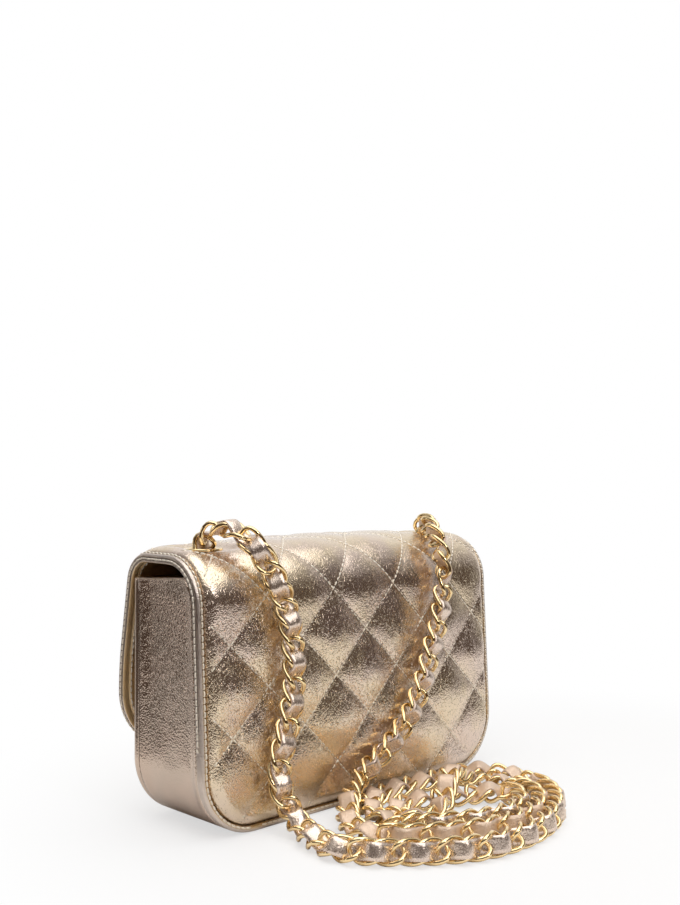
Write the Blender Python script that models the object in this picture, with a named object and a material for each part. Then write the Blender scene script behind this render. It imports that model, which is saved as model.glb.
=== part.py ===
"""Small quilted flap bag on a chain-and-ribbon shoulder strap.

Every separate piece is its own object, at its real size, in metres, with +Z up.
The bag is laid out with its front face at y = 0 and its back towards +Y, and the
last step moves it so that the frame's origin is under the middle of the bag.
"""

import math

import bmesh
import bpy
import numpy as np
from mathutils import Vector

for old_object in list(bpy.data.objects):
    bpy.data.objects.remove(old_object, do_unlink=True)

# Clearances
GAP = 0.0003
OVERRUN = 0.002

# Body of the bag
BODY_WIDTH = 0.200
BODY_DEPTH = 0.0525
CROWN_HEIGHT = 0.1245
MOUTH_DROP = 0.0115
CORNER_RADIUS = 0.030
BACK_LEAN_HEIGHT = 0.030
BACK_LEAN = 0.0049
BACK_BEND_RADIUS = 0.300
REAR_TOP_RADIUS = 0.022
BELLY = 0.0025
BELLY_RAMP = 0.040
FRONT_BELLY = 0.0010

# Flap
FRONT_TOP_RADIUS = 0.015
FLAP_TOP_STANDOFF = 0.0038
FLAP_STANDOFF = 0.0128
FLAP_WAIST_HEIGHT = 0.070
FLAP_WAIST_RADIUS = 0.150
FLAP_HEM_HEIGHT = 0.030
FLAP_CORNER_RADIUS = 0.028
FOLD_SETBACK = 0.0145

# Leather, lining and board
LEATHER = 0.0027
LINING = 0.0008
GUSSET_WALL = 0.0020
GUSSET_INSET = 0.0020
EDGE_BAND = 0.0032
BOARD_THICKNESS = 0.0012
BOARD_MARGIN = 0.0015
LINING_RADIUS = 0.0265
FACING_DEPTH = 0.013
FACING_DROP = 0.0008
POCKET_WIDTH = 0.120
POCKET_LOW = 0.034
POCKET_HIGH = 0.090

# Diamond quilting
QUILT_RISE = 0.0030
QUILT_HALF_WIDTH = 0.021
QUILT_HALF_HEIGHT = 0.0205
QUILT_ROW_HEIGHT = 0.085
QUILT_FADE = 0.009
QUILT_FULLNESS_SHARE = 0.6

# Strap eyelets in the crown
EYELET_INSET = 0.024
EYELET_SETBACK = 0.0108
EYELET_HOLE_RADIUS = 0.0062
EYELET_BARREL_WALL = 0.0008
EYELET_FLANGE_RADIUS = 0.0095
EYELET_FLANGE_THICKNESS = 0.0012
EYELET_LIP = 0.0004
EYELET_TAIL = 0.0006
WASHER_RADIUS = 0.0090
WASHER_THICKNESS = 0.0008
EYELET_SEAT_MARGIN = 0.0010
EYELET_SEAT_RAMP = 0.004
EYELET_SEAT_LIFT = 0.0008

# Strap anchors inside the bag
RING_HALF_WIDTH = 0.007
RING_HALF_HEIGHT = 0.005
RING_WIRE_RADIUS = 0.0011
RING_DROP = 0.0075
TAB_THICKNESS = 0.0014
TAB_WIDTH = 0.006
TAB_EYE_RADIUS = 0.0020
TAB_EYE_TURN = 0.86
TAB_TAIL = 0.018
TAB_SLOPE_RUN = 0.0065
RIVET_HEAD_RADIUS = 0.0022
RIVET_HEAD_THICKNESS = 0.0010
RIVET_SHANK_RADIUS = 0.0010
RIVET_RISE = 0.006

# Turn lock
LOCK_HEIGHT = 0.049
LOCK_SEAT_LIFT = 0.0010
LOCK_SEAT_RAMP = 0.005
LOCK_SEAT_MARGIN = 0.0010
LOCK_PLATE_WIDTH = 0.022
LOCK_PLATE_HEIGHT = 0.027
LOCK_PLATE_RADIUS = 0.005
LOCK_FRONT_PLATE = 0.0012
LOCK_REAR_PLATE = 0.0008
BASE_PLATE_WIDTH = 0.022
BASE_PLATE_HEIGHT = 0.022
BASE_PLATE_THICKNESS = 0.0012
BACKING_THICKNESS = 0.0008
HUB_RADIUS = 0.0050
HUB_CLEARANCE = 0.0012
KNOB_LENGTH = 0.010
KNOB_WIDTH = 0.0044
KNOB_THICKNESS = 0.0040
KNOB_STEM_RADIUS = 0.0021
KNOB_COLLAR_RADIUS = 0.0034
KNOB_COLLAR_THICKNESS = 0.0010
KNOB_CLEARANCE = 0.0005
SLOT_SIDE_CLEARANCE = 0.0006
SLOT_TOP_CLEARANCE = 0.0006
SLOT_SWING_CLEARANCE = 0.0046
SCREW_HEAD_RADIUS = 0.0016
SCREW_HEAD_THICKNESS = 0.0008
SCREW_SHANK_RADIUS = 0.0008
FLAP_SCREW_SPACING = 0.0210
BASE_SCREW_SPACING = 0.0160

# Strap
STRAP_DIAMETER = 0.007
STRAP_POINT_SPACING = 0.0175
STRAP_TURN_SHARE = 0.55
STRAP_LEFT_LENGTH = 0.152
STRAP_RIGHT_LENGTH = 0.180
STRAP_END_RUN = 0.004
STRAP_SAMPLE_STEP = 0.00175
SELF_GAP_STRETCH = 0.021

# Counts
CORNER_STEPS = 6
ROUND_STEPS = 24
SMALL_ROUND_STEPS = 12
CURVE_SAMPLES = 12
ARC_STEPS = 10
QUILT_STEPS = 2
CLOSEST_SHARE = 0.125
PLAIN_STEPS = 1

# Sizes that follow
HALF_WIDTH = BODY_WIDTH / 2
MOUTH_HEIGHT = CROWN_HEIGHT - MOUTH_DROP
LINING_HEIGHT = MOUTH_HEIGHT - FACING_DEPTH
SKIN = LEATHER + GAP + LINING
GUSSET_HALF = HALF_WIDTH - GUSSET_INSET
GUSSET_RADIUS = CORNER_RADIUS - GUSSET_INSET
BOARD_BASE = GUSSET_WALL + GAP
LINING_BASE = BOARD_BASE + BOARD_THICKNESS + GAP
LINING_HALF = GUSSET_HALF - GUSSET_WALL - GAP
LINING_FRONT_Y = LEATHER - LOCK_SEAT_LIFT + GAP + BACKING_THICKNESS + GAP
EYELET_X = HALF_WIDTH - EYELET_INSET
EYELET_BARREL_RADIUS = EYELET_HOLE_RADIUS + EYELET_BARREL_WALL
FOLD_Y = FOLD_SETBACK - FLAP_TOP_STANDOFF
EYELET_Y = FOLD_Y + EYELET_SETBACK
HINGE_HEIGHT = CROWN_HEIGHT + BELLY + QUILT_RISE + GAP
STRAP_RADIUS = STRAP_DIAMETER / 2
SIDE_STEP = QUILT_HALF_HEIGHT / 4

# The strap's route, from the left anchor ring to the right one: up through the eyelet,
# over the rear top edge, down behind the back panel, round the loops that lie on the
# floor and up again. Places are (x, y, z), with y from the bag's front face.
STRAP_ROUTE = (
    (0.0760, 0.0215, 0.1144), (0.0760, 0.0215, 0.1200), (0.0760, 0.0219, 0.1260),
    (0.0760, 0.0235, 0.1310), (0.0758, 0.0275, 0.1348), (0.0752, 0.0330, 0.1366),
    (0.0742, 0.0395, 0.1362), (0.0726, 0.0465, 0.1340), (0.0700, 0.0525, 0.1293),
    (0.0670, 0.0565, 0.1223), (0.0635, 0.0590, 0.1145), (0.0598, 0.0604, 0.1050),
    (0.0566, 0.0609, 0.0945), (0.0548, 0.0612, 0.0835), (0.0542, 0.0615, 0.0720),
    (0.0551, 0.0617, 0.0610), (0.0578, 0.0622, 0.0500), (0.0616, 0.0626, 0.0395),
    (0.0640, 0.0626, 0.0290), (0.0626, 0.0624, 0.0190), (0.0602, 0.0640, 0.0110),
    (0.0605, 0.0695, 0.0060), (0.0630, 0.0780, 0.0038), (0.0672, 0.0900, 0.0038),
    (0.0695, 0.1020, 0.0038), (0.0680, 0.1120, 0.0038), (0.0620, 0.1215, 0.0038),
    (0.0550, 0.1285, 0.0038), (0.0460, 0.1360, 0.0038), (0.0350, 0.1432, 0.0038),
    (0.0240, 0.1482, 0.0038), (0.0100, 0.1505, 0.0038), (-0.0080, 0.1500, 0.0038),
    (-0.0280, 0.1447, 0.0038), (-0.0460, 0.1350, 0.0038), (-0.0590, 0.1230, 0.0038),
    (-0.0680, 0.1060, 0.0038), (-0.0715, 0.0885, 0.0038), (-0.0685, 0.0745, 0.0038),
    (-0.0590, 0.0672, 0.0038), (-0.0440, 0.0648, 0.0038), (-0.0240, 0.0640, 0.0038),
    (-0.0080, 0.0638, 0.0038), (0.0035, 0.0650, 0.0038), (0.0115, 0.0685, 0.0038),
    (0.0185, 0.0748, 0.0038), (0.0245, 0.0830, 0.0038), (0.0283, 0.0920, 0.0038),
    (0.0285, 0.1010, 0.0038), (0.0235, 0.1100, 0.0038), (0.0145, 0.1175, 0.0038),
    (0.0020, 0.1238, 0.0038), (-0.0110, 0.1275, 0.0038), (-0.0240, 0.1270, 0.0038),
    (-0.0370, 0.1210, 0.0038), (-0.0440, 0.1120, 0.0038), (-0.0435, 0.1035, 0.0038),
    (-0.0365, 0.0973, 0.0038), (-0.0260, 0.0930, 0.0038), (-0.0120, 0.0870, 0.0038),
    (0.0010, 0.0830, 0.0038), (0.0090, 0.0838, 0.0038), (0.0150, 0.0880, 0.0038),
    (0.0177, 0.0945, 0.0038), (0.0160, 0.1015, 0.0038), (0.0105, 0.1060, 0.0038),
    (0.0035, 0.1052, 0.0052), (-0.0045, 0.1005, 0.0080), (-0.0135, 0.0945, 0.0118),
    (-0.0235, 0.0882, 0.0138), (-0.0335, 0.0830, 0.0110), (-0.0420, 0.0800, 0.0070),
    (-0.0500, 0.0812, 0.0045), (-0.0560, 0.0882, 0.0038), (-0.0578, 0.1005, 0.0038),
    (-0.0540, 0.1140, 0.0038), (-0.0455, 0.1255, 0.0038), (-0.0330, 0.1335, 0.0038),
    (-0.0150, 0.1378, 0.0038), (-0.0010, 0.1372, 0.0038), (0.0120, 0.1330, 0.0038),
    (0.0230, 0.1280, 0.0038), (0.0335, 0.1210, 0.0038), (0.0415, 0.1135, 0.0038),
    (0.0465, 0.1045, 0.0038), (0.0465, 0.0945, 0.0038), (0.0425, 0.0855, 0.0040),
    (0.0360, 0.0778, 0.0050), (0.0290, 0.0713, 0.0070), (0.0220, 0.0665, 0.0102),
    (0.0145, 0.0637, 0.0148), (0.0060, 0.0628, 0.0196), (-0.0080, 0.0626, 0.0272),
    (-0.0205, 0.0625, 0.0374), (-0.0295, 0.0622, 0.0486), (-0.0364, 0.0616, 0.0604),
    (-0.0419, 0.0609, 0.0726), (-0.0479, 0.0603, 0.0850), (-0.0510, 0.0600, 0.0980),
    (-0.0525, 0.0595, 0.1090), (-0.0532, 0.0576, 0.1172), (-0.0546, 0.0538, 0.1238),
    (-0.0575, 0.0483, 0.1288), (-0.0615, 0.0420, 0.1318), (-0.0662, 0.0352, 0.1334),
    (-0.0712, 0.0286, 0.1326), (-0.0748, 0.0238, 0.1300), (-0.0758, 0.0218, 0.1256),
    (-0.0760, 0.0215, 0.1200), (-0.0760, 0.0215, 0.1144),
)


def smooth(share):
    """Ease from 0 to 1."""
    share = min(max(share, 0.0), 1.0)
    return share * share * (3.0 - 2.0 * share)


def stations(start, stop, step, marks=()):
    """Places from start to stop, no further apart than step, through every mark between."""
    stops = [start] + sorted(mark for mark in marks if start < mark < stop) + [stop]
    places = [start]
    for low, high in zip(stops, stops[1:]):
        count = max(1, math.ceil((high - low) / step - GAP))
        places += [low + (high - low) * (k + 1) / count for k in range(count)]
    return places


def rounded_path(corners, radii):
    """A line through the corners, each inner corner rounded to its radius."""
    points = [Vector(corners[0])]
    for before, corner, after, radius in zip(corners, corners[1:], corners[2:], radii):
        corner = Vector(corner)
        incoming = (corner - Vector(before)).normalized()
        outgoing = (Vector(after) - corner).normalized()
        turn = incoming.angle(outgoing)
        reach = radius * math.tan(turn / 2)
        side = (outgoing - incoming * incoming.dot(outgoing)).normalized()
        centre = corner - incoming * reach + side * radius
        for k in range(ARC_STEPS + 1):
            angle = turn * k / ARC_STEPS
            points.append(centre - side * radius * math.cos(angle) + incoming * radius * math.sin(angle))
    points.append(Vector(corners[-1]))
    return points


class Profile:
    """The bag's side-on outer line, read by its length from the foot of the back."""

    def __init__(self, points):
        self.points = np.array([tuple(point) for point in points])
        runs = np.diff(self.points, axis=0)
        lengths = np.linalg.norm(runs, axis=1)
        self.along = np.concatenate([[0.0], np.cumsum(lengths)])
        units = runs / lengths[:, None]
        blends = np.vstack([units[:1], units[:-1] + units[1:], units[-1:]])
        self.tangents = blends / np.linalg.norm(blends, axis=1)[:, None]
        self.length = self.along[-1]

    def point(self, along):
        return [float(np.interp(along, self.along, self.points[:, k])) for k in (0, 1)]

    def normal(self, along):
        y, z = [float(np.interp(along, self.along, self.tangents[:, k])) for k in (0, 1)]
        size = math.hypot(y, z)
        return z / size, -y / size

    def place(self, x, along, out):
        """The point at x across, along the line and out from it."""
        (y, z), (out_y, out_z) = self.point(along), self.normal(along)
        return Vector((x, y + out_y * out, z + out_z * out))


SHELL = Profile(rounded_path(
    (
        (BODY_DEPTH, 0),
        (BODY_DEPTH, BACK_LEAN_HEIGHT),
        (BODY_DEPTH - BACK_LEAN, CROWN_HEIGHT),
        (-FLAP_TOP_STANDOFF, CROWN_HEIGHT),
        (-FLAP_STANDOFF, FLAP_WAIST_HEIGHT),
        (-FLAP_STANDOFF, FLAP_HEM_HEIGHT),
    ),
    (BACK_BEND_RADIUS, REAR_TOP_RADIUS, FRONT_TOP_RADIUS, FLAP_WAIST_RADIUS),
))
BEND_POINTS = ARC_STEPS + 1
REAR_BEND = [float(SHELL.along[BEND_POINTS + 1 + k]) for k in range(0, BEND_POINTS, 2)]
FRONT_BEND = [float(SHELL.length - SHELL.along[2 * BEND_POINTS + 1 + k]) for k in range(0, BEND_POINTS, 2)]
# The crown runs level there, so lengths along it are lengths in y.
crown_rows = [k for k, (y, z) in enumerate(SHELL.points) if z > CROWN_HEIGHT - GAP / 10]
CROWN_ROW = crown_rows[0]
FOLD_ALONG = SHELL.along[CROWN_ROW] + SHELL.points[CROWN_ROW][0] - FOLD_Y
EYELET_ALONG = FOLD_ALONG - EYELET_SETBACK


def inner_back_y(z, out):
    """Where the bag's back, moved out by the given distance, stands at height z."""
    alongs = np.linspace(0, SHELL.along[CROWN_ROW], ARC_STEPS * ARC_STEPS * 2)
    places = [SHELL.place(0, along, out) for along in alongs]
    return float(np.interp(z, [place.z for place in places], [place.y for place in places]))


class Seat:
    """A spot pressed flat under metal, level at the given outward height."""

    def __init__(self, x, along, half_x, half_along, ramp, lift):
        self.x, self.along, self.half_x, self.half_along = x, along, half_x, half_along
        self.ramp, self.lift = ramp, lift

    def weight(self, x, along):
        away = max(abs(x - self.x) - self.half_x, abs(along - self.along) - self.half_along, 0)
        return smooth(1 - away / self.ramp)

    def marks_x(self):
        return [self.x + side * (self.half_x + out) for side in (-1, 1) for out in (0, self.ramp)]

    def marks_along(self):
        return [self.along + side * (self.half_along + out) for side in (-1, 1) for out in (0, self.ramp)]


class Cover:
    """One face of the bag: x across, d from its rounded end, and a height outwards."""

    def __init__(self, place, length, radius, belly, quilt_row, free_end, bends, seats):
        self.place, self.length, self.radius, self.belly = place, length, radius, belly
        self.quilt_row, self.free_end, self.bends, self.seats = quilt_row, free_end, bends, seats

    def half(self, d, inset):
        radius = self.radius - inset
        flat = HALF_WIDTH - self.radius
        down = radius - (d - inset)
        return flat + (math.sqrt(max(radius ** 2 - down ** 2, 0)) if down > 0 else radius)

    def level(self, x, d):
        """The soft bulge of the whole face, pressed flat under the metal."""
        height = self.belly * (1 - (x / HALF_WIDTH) ** 2) * smooth(d / BELLY_RAMP)
        for seat in self.seats:
            share = seat.weight(x, d)
            height += share * (seat.lift(d) - height)
        return height

    def relief(self, x, d):
        """The face with its quilting on it."""
        across = x / QUILT_HALF_WIDTH
        along = (d - self.quilt_row) / QUILT_HALF_HEIGHT
        lobes = math.sin(math.pi * (across + along) / 2) * math.sin(math.pi * (across - along) / 2)
        margin = min(self.half(d, EDGE_BAND) - abs(x), d - EDGE_BAND)
        if self.free_end:
            margin = min(margin, self.length - d)
        rise = QUILT_RISE * abs(lobes) ** QUILT_FULLNESS_SHARE * smooth(margin / QUILT_FADE)
        for seat in self.seats:
            rise *= 1 - seat.weight(x, d)
        return self.level(x, d) + rise


def back_place(x, d, out):
    return SHELL.place(x, d, out)


def flap_place(x, d, out):
    return SHELL.place(x, SHELL.length - d, out)


def front_place(x, d, out):
    return Vector((x, -out, d))


EYELET_SEAT_HEIGHT = CROWN_HEIGHT + EYELET_SEAT_LIFT


def eyelet_seat_lift(along):
    """How far out of the crown's curve the level ground under an eyelet is."""
    return (EYELET_SEAT_HEIGHT - SHELL.point(along)[1]) / SHELL.normal(along)[1]


def lock_seat_lift(along):
    return LOCK_SEAT_LIFT


SLOT_LOW = LOCK_HEIGHT - KNOB_LENGTH / 2 - SLOT_SWING_CLEARANCE
SLOT_HIGH = LOCK_HEIGHT + KNOB_LENGTH / 2 + SLOT_TOP_CLEARANCE
SLOT_MIDDLE = (SLOT_LOW + SLOT_HIGH) / 2
EYELET_SEAT_HALF = EYELET_FLANGE_RADIUS + EYELET_SEAT_MARGIN

back_cover = Cover(
    back_place, FOLD_ALONG - GAP / 2, CORNER_RADIUS, BELLY, QUILT_ROW_HEIGHT, False, REAR_BEND,
    [Seat(side * EYELET_X, EYELET_ALONG, EYELET_SEAT_HALF, EYELET_SEAT_HALF, EYELET_SEAT_RAMP,
          eyelet_seat_lift) for side in (-1, 1)],
)
flap_cover = Cover(
    flap_place, SHELL.length - FOLD_ALONG - GAP / 2, FLAP_CORNER_RADIUS, BELLY,
    SHELL.length - QUILT_ROW_HEIGHT, False, FRONT_BEND,
    [Seat(0, SLOT_MIDDLE - FLAP_HEM_HEIGHT, LOCK_PLATE_WIDTH / 2 + LOCK_SEAT_MARGIN,
          LOCK_PLATE_HEIGHT / 2 + LOCK_SEAT_MARGIN, LOCK_SEAT_RAMP, lock_seat_lift)],
)
front_cover = Cover(
    front_place, MOUTH_HEIGHT, CORNER_RADIUS, FRONT_BELLY, QUILT_ROW_HEIGHT, True, [],
    [Seat(0, LOCK_HEIGHT, BASE_PLATE_WIDTH / 2 + LOCK_SEAT_MARGIN,
          BASE_PLATE_HEIGHT / 2 + LOCK_SEAT_MARGIN, LOCK_SEAT_RAMP, lock_seat_lift)],
)

# Pivots that carry the pieces
bag_root = bpy.data.objects.new("bag_root", None)
flap_pivot = bpy.data.objects.new("flap_pivot", None)
knob_pivot = bpy.data.objects.new("knob_pivot", None)
for pivot in (bag_root, flap_pivot, knob_pivot):
    bpy.context.scene.collection.objects.link(pivot)
flap_pivot.parent = bag_root
knob_pivot.parent = bag_root
flap_pivot.location = (0, FOLD_Y, HINGE_HEIGHT)
knob_pivot.location = (0, 0, LOCK_HEIGHT)


def finish(name, colour, roughness, metallic):
    """A plain material of one colour."""
    made = bpy.data.materials.new(name)
    made.use_nodes = True
    shader = made.node_tree.nodes["Principled BSDF"]
    shader.inputs["Base Color"].default_value = (*colour, 1)
    shader.inputs["Roughness"].default_value = roughness
    shader.inputs["Metallic"].default_value = metallic
    return made


FOIL = ((0.52, 0.40, 0.30), 0.34, 0.85)
BAND_FOIL = ((0.62, 0.50, 0.41), 0.36, 0.85)
GUSSET_FOIL = ((0.38, 0.29, 0.22), 0.40, 0.80)
INNER_FOIL = ((0.38, 0.29, 0.22), 0.45, 0.60)
LINING_CLOTH = ((0.10, 0.08, 0.07), 0.70, 0)
BOARD = ((0.55, 0.47, 0.36), 0.90, 0)
GOLD = ((0.83, 0.66, 0.40), 0.22, 1)


def add_object(name, data, pivot, colour, roughness, metallic):
    """Link one piece, with its own material, under the pivot that carries it."""
    made = bpy.data.objects.new(name, data)
    bpy.context.scene.collection.objects.link(made)
    made.parent = pivot
    data.materials.append(finish(name, colour, roughness, metallic))
    return made


def add_mesh(name, shape, pivot, colour, roughness, metallic, round_edges=False):
    """Turn a closed bmesh, drawn in the bag's frame, into a piece under its pivot."""
    bmesh.ops.recalc_face_normals(shape, faces=shape.faces)
    if pivot is not bag_root:
        bmesh.ops.translate(shape, vec=-pivot.location, verts=shape.verts)
    mesh = bpy.data.meshes.new(name)
    shape.to_mesh(mesh)
    shape.free()
    if round_edges:
        mesh.shade_smooth()
        mesh.set_sharp_from_angle(angle=math.radians(40))
    return add_object(name, mesh, pivot, colour, roughness, metallic)


def cut(piece, cutter_shape, name):
    """Cut one closed shape out of a piece."""
    bmesh.ops.recalc_face_normals(cutter_shape, faces=cutter_shape.faces)
    mesh = bpy.data.meshes.new(name)
    cutter_shape.to_mesh(mesh)
    cutter_shape.free()
    cutter = bpy.data.objects.new(name, mesh)
    bpy.context.scene.collection.objects.link(cutter)
    cutter.parent = bag_root
    cutter.hide_render = True
    cutter.display_type = "WIRE"
    trim(piece, cutter)
    return cutter


def trim(piece, cutter):
    """Cut a piece with a cutter that is already there."""
    modifier = piece.modifiers.new(cutter.name, "BOOLEAN")
    modifier.operation = "DIFFERENCE"
    modifier.solver = "EXACT"
    modifier.object = cutter


def sheet_shape(cover, inset, start, tops, unders, steps):
    """A sheet between two heights, on a grid that follows the quilting and the seats."""
    radius = cover.radius - inset
    marks = cover.bends + [mark for seat in cover.seats for mark in seat.marks_along()]
    rows = []
    straight = max(start, cover.radius)
    if start < cover.radius:
        rows = [inset + radius * (1 - math.cos(math.pi / 2 * k / CORNER_STEPS)) for k in range(CORNER_STEPS)]
    first_row = math.floor((straight - cover.quilt_row) / QUILT_HALF_HEIGHT * steps) + 1
    last_row = math.ceil((cover.length - cover.quilt_row) / QUILT_HALF_HEIGHT * steps)
    marks += [cover.quilt_row + k * QUILT_HALF_HEIGHT / steps for k in range(first_row, last_row)]
    rows += thinned(stations(straight, cover.length, QUILT_HALF_HEIGHT / steps, marks))
    half = HALF_WIDTH - inset
    count = math.floor(half / QUILT_HALF_WIDTH * steps)
    lines = [k * QUILT_HALF_WIDTH / steps for k in range(-count, count + 1)]
    lines += [mark for seat in cover.seats for mark in seat.marks_x() if abs(mark) < half]
    shares = [x / half for x in thinned(sorted(lines + [-half, half]))]
    shape = bmesh.new()
    layers = []
    for heights in (tops, unders):
        layer = []
        for d in rows:
            wide = cover.half(d, inset)
            line = [(share * wide, d, heights(share * wide, d)) for share in shares]
            layer.append([(shape.verts.new(cover.place(x, at, out)), out) for x, at, out in line])
        layers.append(layer)
    for layer in layers:
        for low, high in zip(layer, layer[1:]):
            for k in range(len(shares) - 1):
                a, b, c, d = low[k], low[k + 1], high[k + 1], high[k]
                valley = a[1] + c[1] < b[1] + d[1]
                pairs = ((a, b, c), (a, c, d)) if valley else ((a, b, d), (b, c, d))
                for corners in pairs:
                    shape.faces.new([corner[0] for corner in corners])
    top, under = layers
    borders = [
        (top[0], under[0]), (top[-1], under[-1]),
        ([row[0] for row in top], [row[0] for row in under]),
        ([row[-1] for row in top], [row[-1] for row in under]),
    ]
    for upper, lower in borders:
        for k in range(len(upper) - 1):
            a, b, c, d = upper[k][0], upper[k + 1][0], lower[k + 1][0], lower[k][0]
            shape.faces.new((a, b, c))
            shape.faces.new((a, c, d))
    return shape


def thinned(places):
    """Sorted places without those that nearly repeat the one before or the last."""
    closest = QUILT_HALF_WIDTH / QUILT_STEPS * CLOSEST_SHARE
    kept = [places[0]]
    for place in places[1:-1]:
        if place - kept[-1] > closest and places[-1] - place > closest:
            kept.append(place)
    return kept + [places[-1]]


def u_line(half, base, radius, top, side_places):
    """A U from the left top round to the right top: (x, height), corners rounded."""
    left = [(-half, place) for place in reversed(side_places)]
    centre = base + radius
    for k in range(1, CORNER_STEPS + 1):
        angle = math.pi / 2 * k / CORNER_STEPS
        left.append((-half + radius - radius * math.cos(angle), centre - radius * math.sin(angle)))
    return left + [(-x, height) for x, height in reversed(left)]


def swept_shape(sections):
    """A closed bar through four-cornered sections."""
    shape = bmesh.new()
    rings = [[shape.verts.new(corner) for corner in section] for section in sections]
    for ring, following in zip(rings, rings[1:]):
        for k in range(len(ring)):
            after = (k + 1) % len(ring)
            shape.faces.new((ring[k], ring[after], following[after]))
            shape.faces.new((ring[k], following[after], following[k]))
    shape.faces.new(rings[0])
    shape.faces.new(list(reversed(rings[-1])))
    return shape


def band_shape(cover):
    """The folded edge band round a face, as deep as leather and lining together."""
    sides = stations(cover.radius, cover.length, SIDE_STEP)
    outer = u_line(HALF_WIDTH, 0, cover.radius, cover.length, sides)
    inner = u_line(HALF_WIDTH - EDGE_BAND, EDGE_BAND, cover.radius - EDGE_BAND, cover.length, sides)
    sections = []
    for (x, d), (inner_x, inner_d) in zip(outer, inner):
        sections.append((
            cover.place(x, d, 0), cover.place(inner_x, inner_d, 0),
            cover.place(inner_x, inner_d, -SKIN), cover.place(x, d, -SKIN),
        ))
    return swept_shape(sections)


def turned_shape(outline, centre, axis, steps):
    """A body of revolution: outline points are (radius, distance along the axis)."""
    shape = bmesh.new()
    axis = Vector(axis)
    side = axis.orthogonal().normalized()
    other = axis.cross(side)
    rings = []
    for radius, along in outline:
        if radius == 0:
            rings.append([shape.verts.new(Vector(centre) + axis * along)])
            continue
        angles = [2 * math.pi * k / steps for k in range(steps)]
        rings.append([shape.verts.new(
            Vector(centre) + axis * along + (side * math.cos(a) + other * math.sin(a)) * radius
        ) for a in angles])
    closed = len(rings[0]) > 1
    pairs = list(zip(rings, rings[1:])) + ([(rings[-1], rings[0])] if closed else [])
    for ring, following in pairs:
        for k in range(steps):
            after = (k + 1) % steps
            if len(ring) == 1:
                shape.faces.new((ring[0], following[k], following[after]))
            elif len(following) == 1:
                shape.faces.new((ring[k], ring[after], following[0]))
            else:
                shape.faces.new((ring[k], ring[after], following[after], following[k]))
    return shape


def prism_shape(outline, place, low, high):
    """A flat outline with thickness: place turns (u, v, w) into a point."""
    shape = bmesh.new()
    bottom = [shape.verts.new(place(u, v, low)) for u, v in outline]
    top = [shape.verts.new(place(u, v, high)) for u, v in outline]
    shape.faces.new(bottom)
    shape.faces.new(list(reversed(top)))
    for k in range(len(outline)):
        after = (k + 1) % len(outline)
        shape.faces.new((bottom[k], bottom[after], top[after], top[k]))
    return shape


def rounded_rectangle(width, height, radius, middle):
    """Corners of a rounded rectangle about (0, middle)."""
    points = []
    for quarter in range(4):
        across = (1, -1, -1, 1)[quarter] * (width / 2 - radius)
        up = (1, 1, -1, -1)[quarter] * (height / 2 - radius)
        for k in range(CORNER_STEPS // 2 + 1):
            angle = math.pi / 2 * (quarter + k / (CORNER_STEPS // 2))
            points.append((across + radius * math.cos(angle), middle + up + radius * math.sin(angle)))
    return points


def facing_front(x, z, out):
    """Out is how far ahead of the bag's front face."""
    return Vector((x, -out, z))


def facing_side(x, z, y):
    return Vector((x, y, z))


def facing_up(x, y, z):
    return Vector((x, y, z))


def panels():
    """The quilted leather of the back and crown, the front, and the flap."""
    back = add_mesh(
        "back_panel",
        sheet_shape(back_cover, EDGE_BAND + GAP, 0, back_cover.relief,
                    lambda x, d: back_cover.level(x, d) - LEATHER, QUILT_STEPS),
        bag_root, *FOIL)
    front = add_mesh(
        "front_panel",
        sheet_shape(front_cover, EDGE_BAND + GAP, 0, front_cover.relief,
                    lambda x, d: front_cover.level(x, d) - LEATHER, QUILT_STEPS),
        bag_root, *FOIL)
    flap = add_mesh(
        "flap_leather",
        sheet_shape(flap_cover, EDGE_BAND + GAP, 0, flap_cover.relief,
                    lambda x, d: flap_cover.level(x, d) - LEATHER, QUILT_STEPS),
        flap_pivot, *FOIL)
    return back, front, flap


def linings():
    """The thin leather under the crown and under the flap."""
    def top(cover):
        return lambda x, d: cover.level(x, d) - LEATHER - GAP

    def under(cover):
        return lambda x, d: cover.level(x, d) - SKIN

    crown = add_mesh(
        "crown_lining",
        sheet_shape(back_cover, HALF_WIDTH - LINING_HALF + GAP, LINING_HEIGHT + GAP + FACING_DROP,
                    top(back_cover), under(back_cover), PLAIN_STEPS),
        bag_root, *LINING_CLOTH)
    flap = add_mesh(
        "flap_lining",
        sheet_shape(flap_cover, EDGE_BAND + GAP, 0, top(flap_cover), under(flap_cover), PLAIN_STEPS),
        flap_pivot, *INNER_FOIL)
    return crown, flap


def edge_bands():
    """The stitched bands that close the edges of the back, the front and the flap."""
    for name, cover, pivot in (
        ("back_edge_band", back_cover, bag_root),
        ("front_edge_band", front_cover, bag_root),
        ("flap_edge_band", flap_cover, flap_pivot),
    ):
        add_mesh(name, band_shape(cover), pivot, *BAND_FOIL)


def gusset():
    """One strip of leather down the left side, under the bag and up the right side."""
    sides = stations(GUSSET_RADIUS, MOUTH_HEIGHT, SIDE_STEP)
    outer = u_line(GUSSET_HALF, 0, GUSSET_RADIUS, MOUTH_HEIGHT, sides)
    inner = u_line(GUSSET_HALF - GUSSET_WALL, GUSSET_WALL, GUSSET_RADIUS - GUSSET_WALL, MOUTH_HEIGHT, sides)
    front = SKIN + GAP
    sections = []
    for (x, z), (inner_x, inner_z) in zip(outer, inner):
        sections.append((
            Vector((x, front, z)), Vector((x, inner_back_y(z, -SKIN) - GAP, z)),
            Vector((inner_x, inner_back_y(inner_z, -SKIN) - GAP, inner_z)), Vector((inner_x, front, inner_z)),
        ))
    add_mesh("gusset", swept_shape(sections), bag_root, *GUSSET_FOIL)


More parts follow.
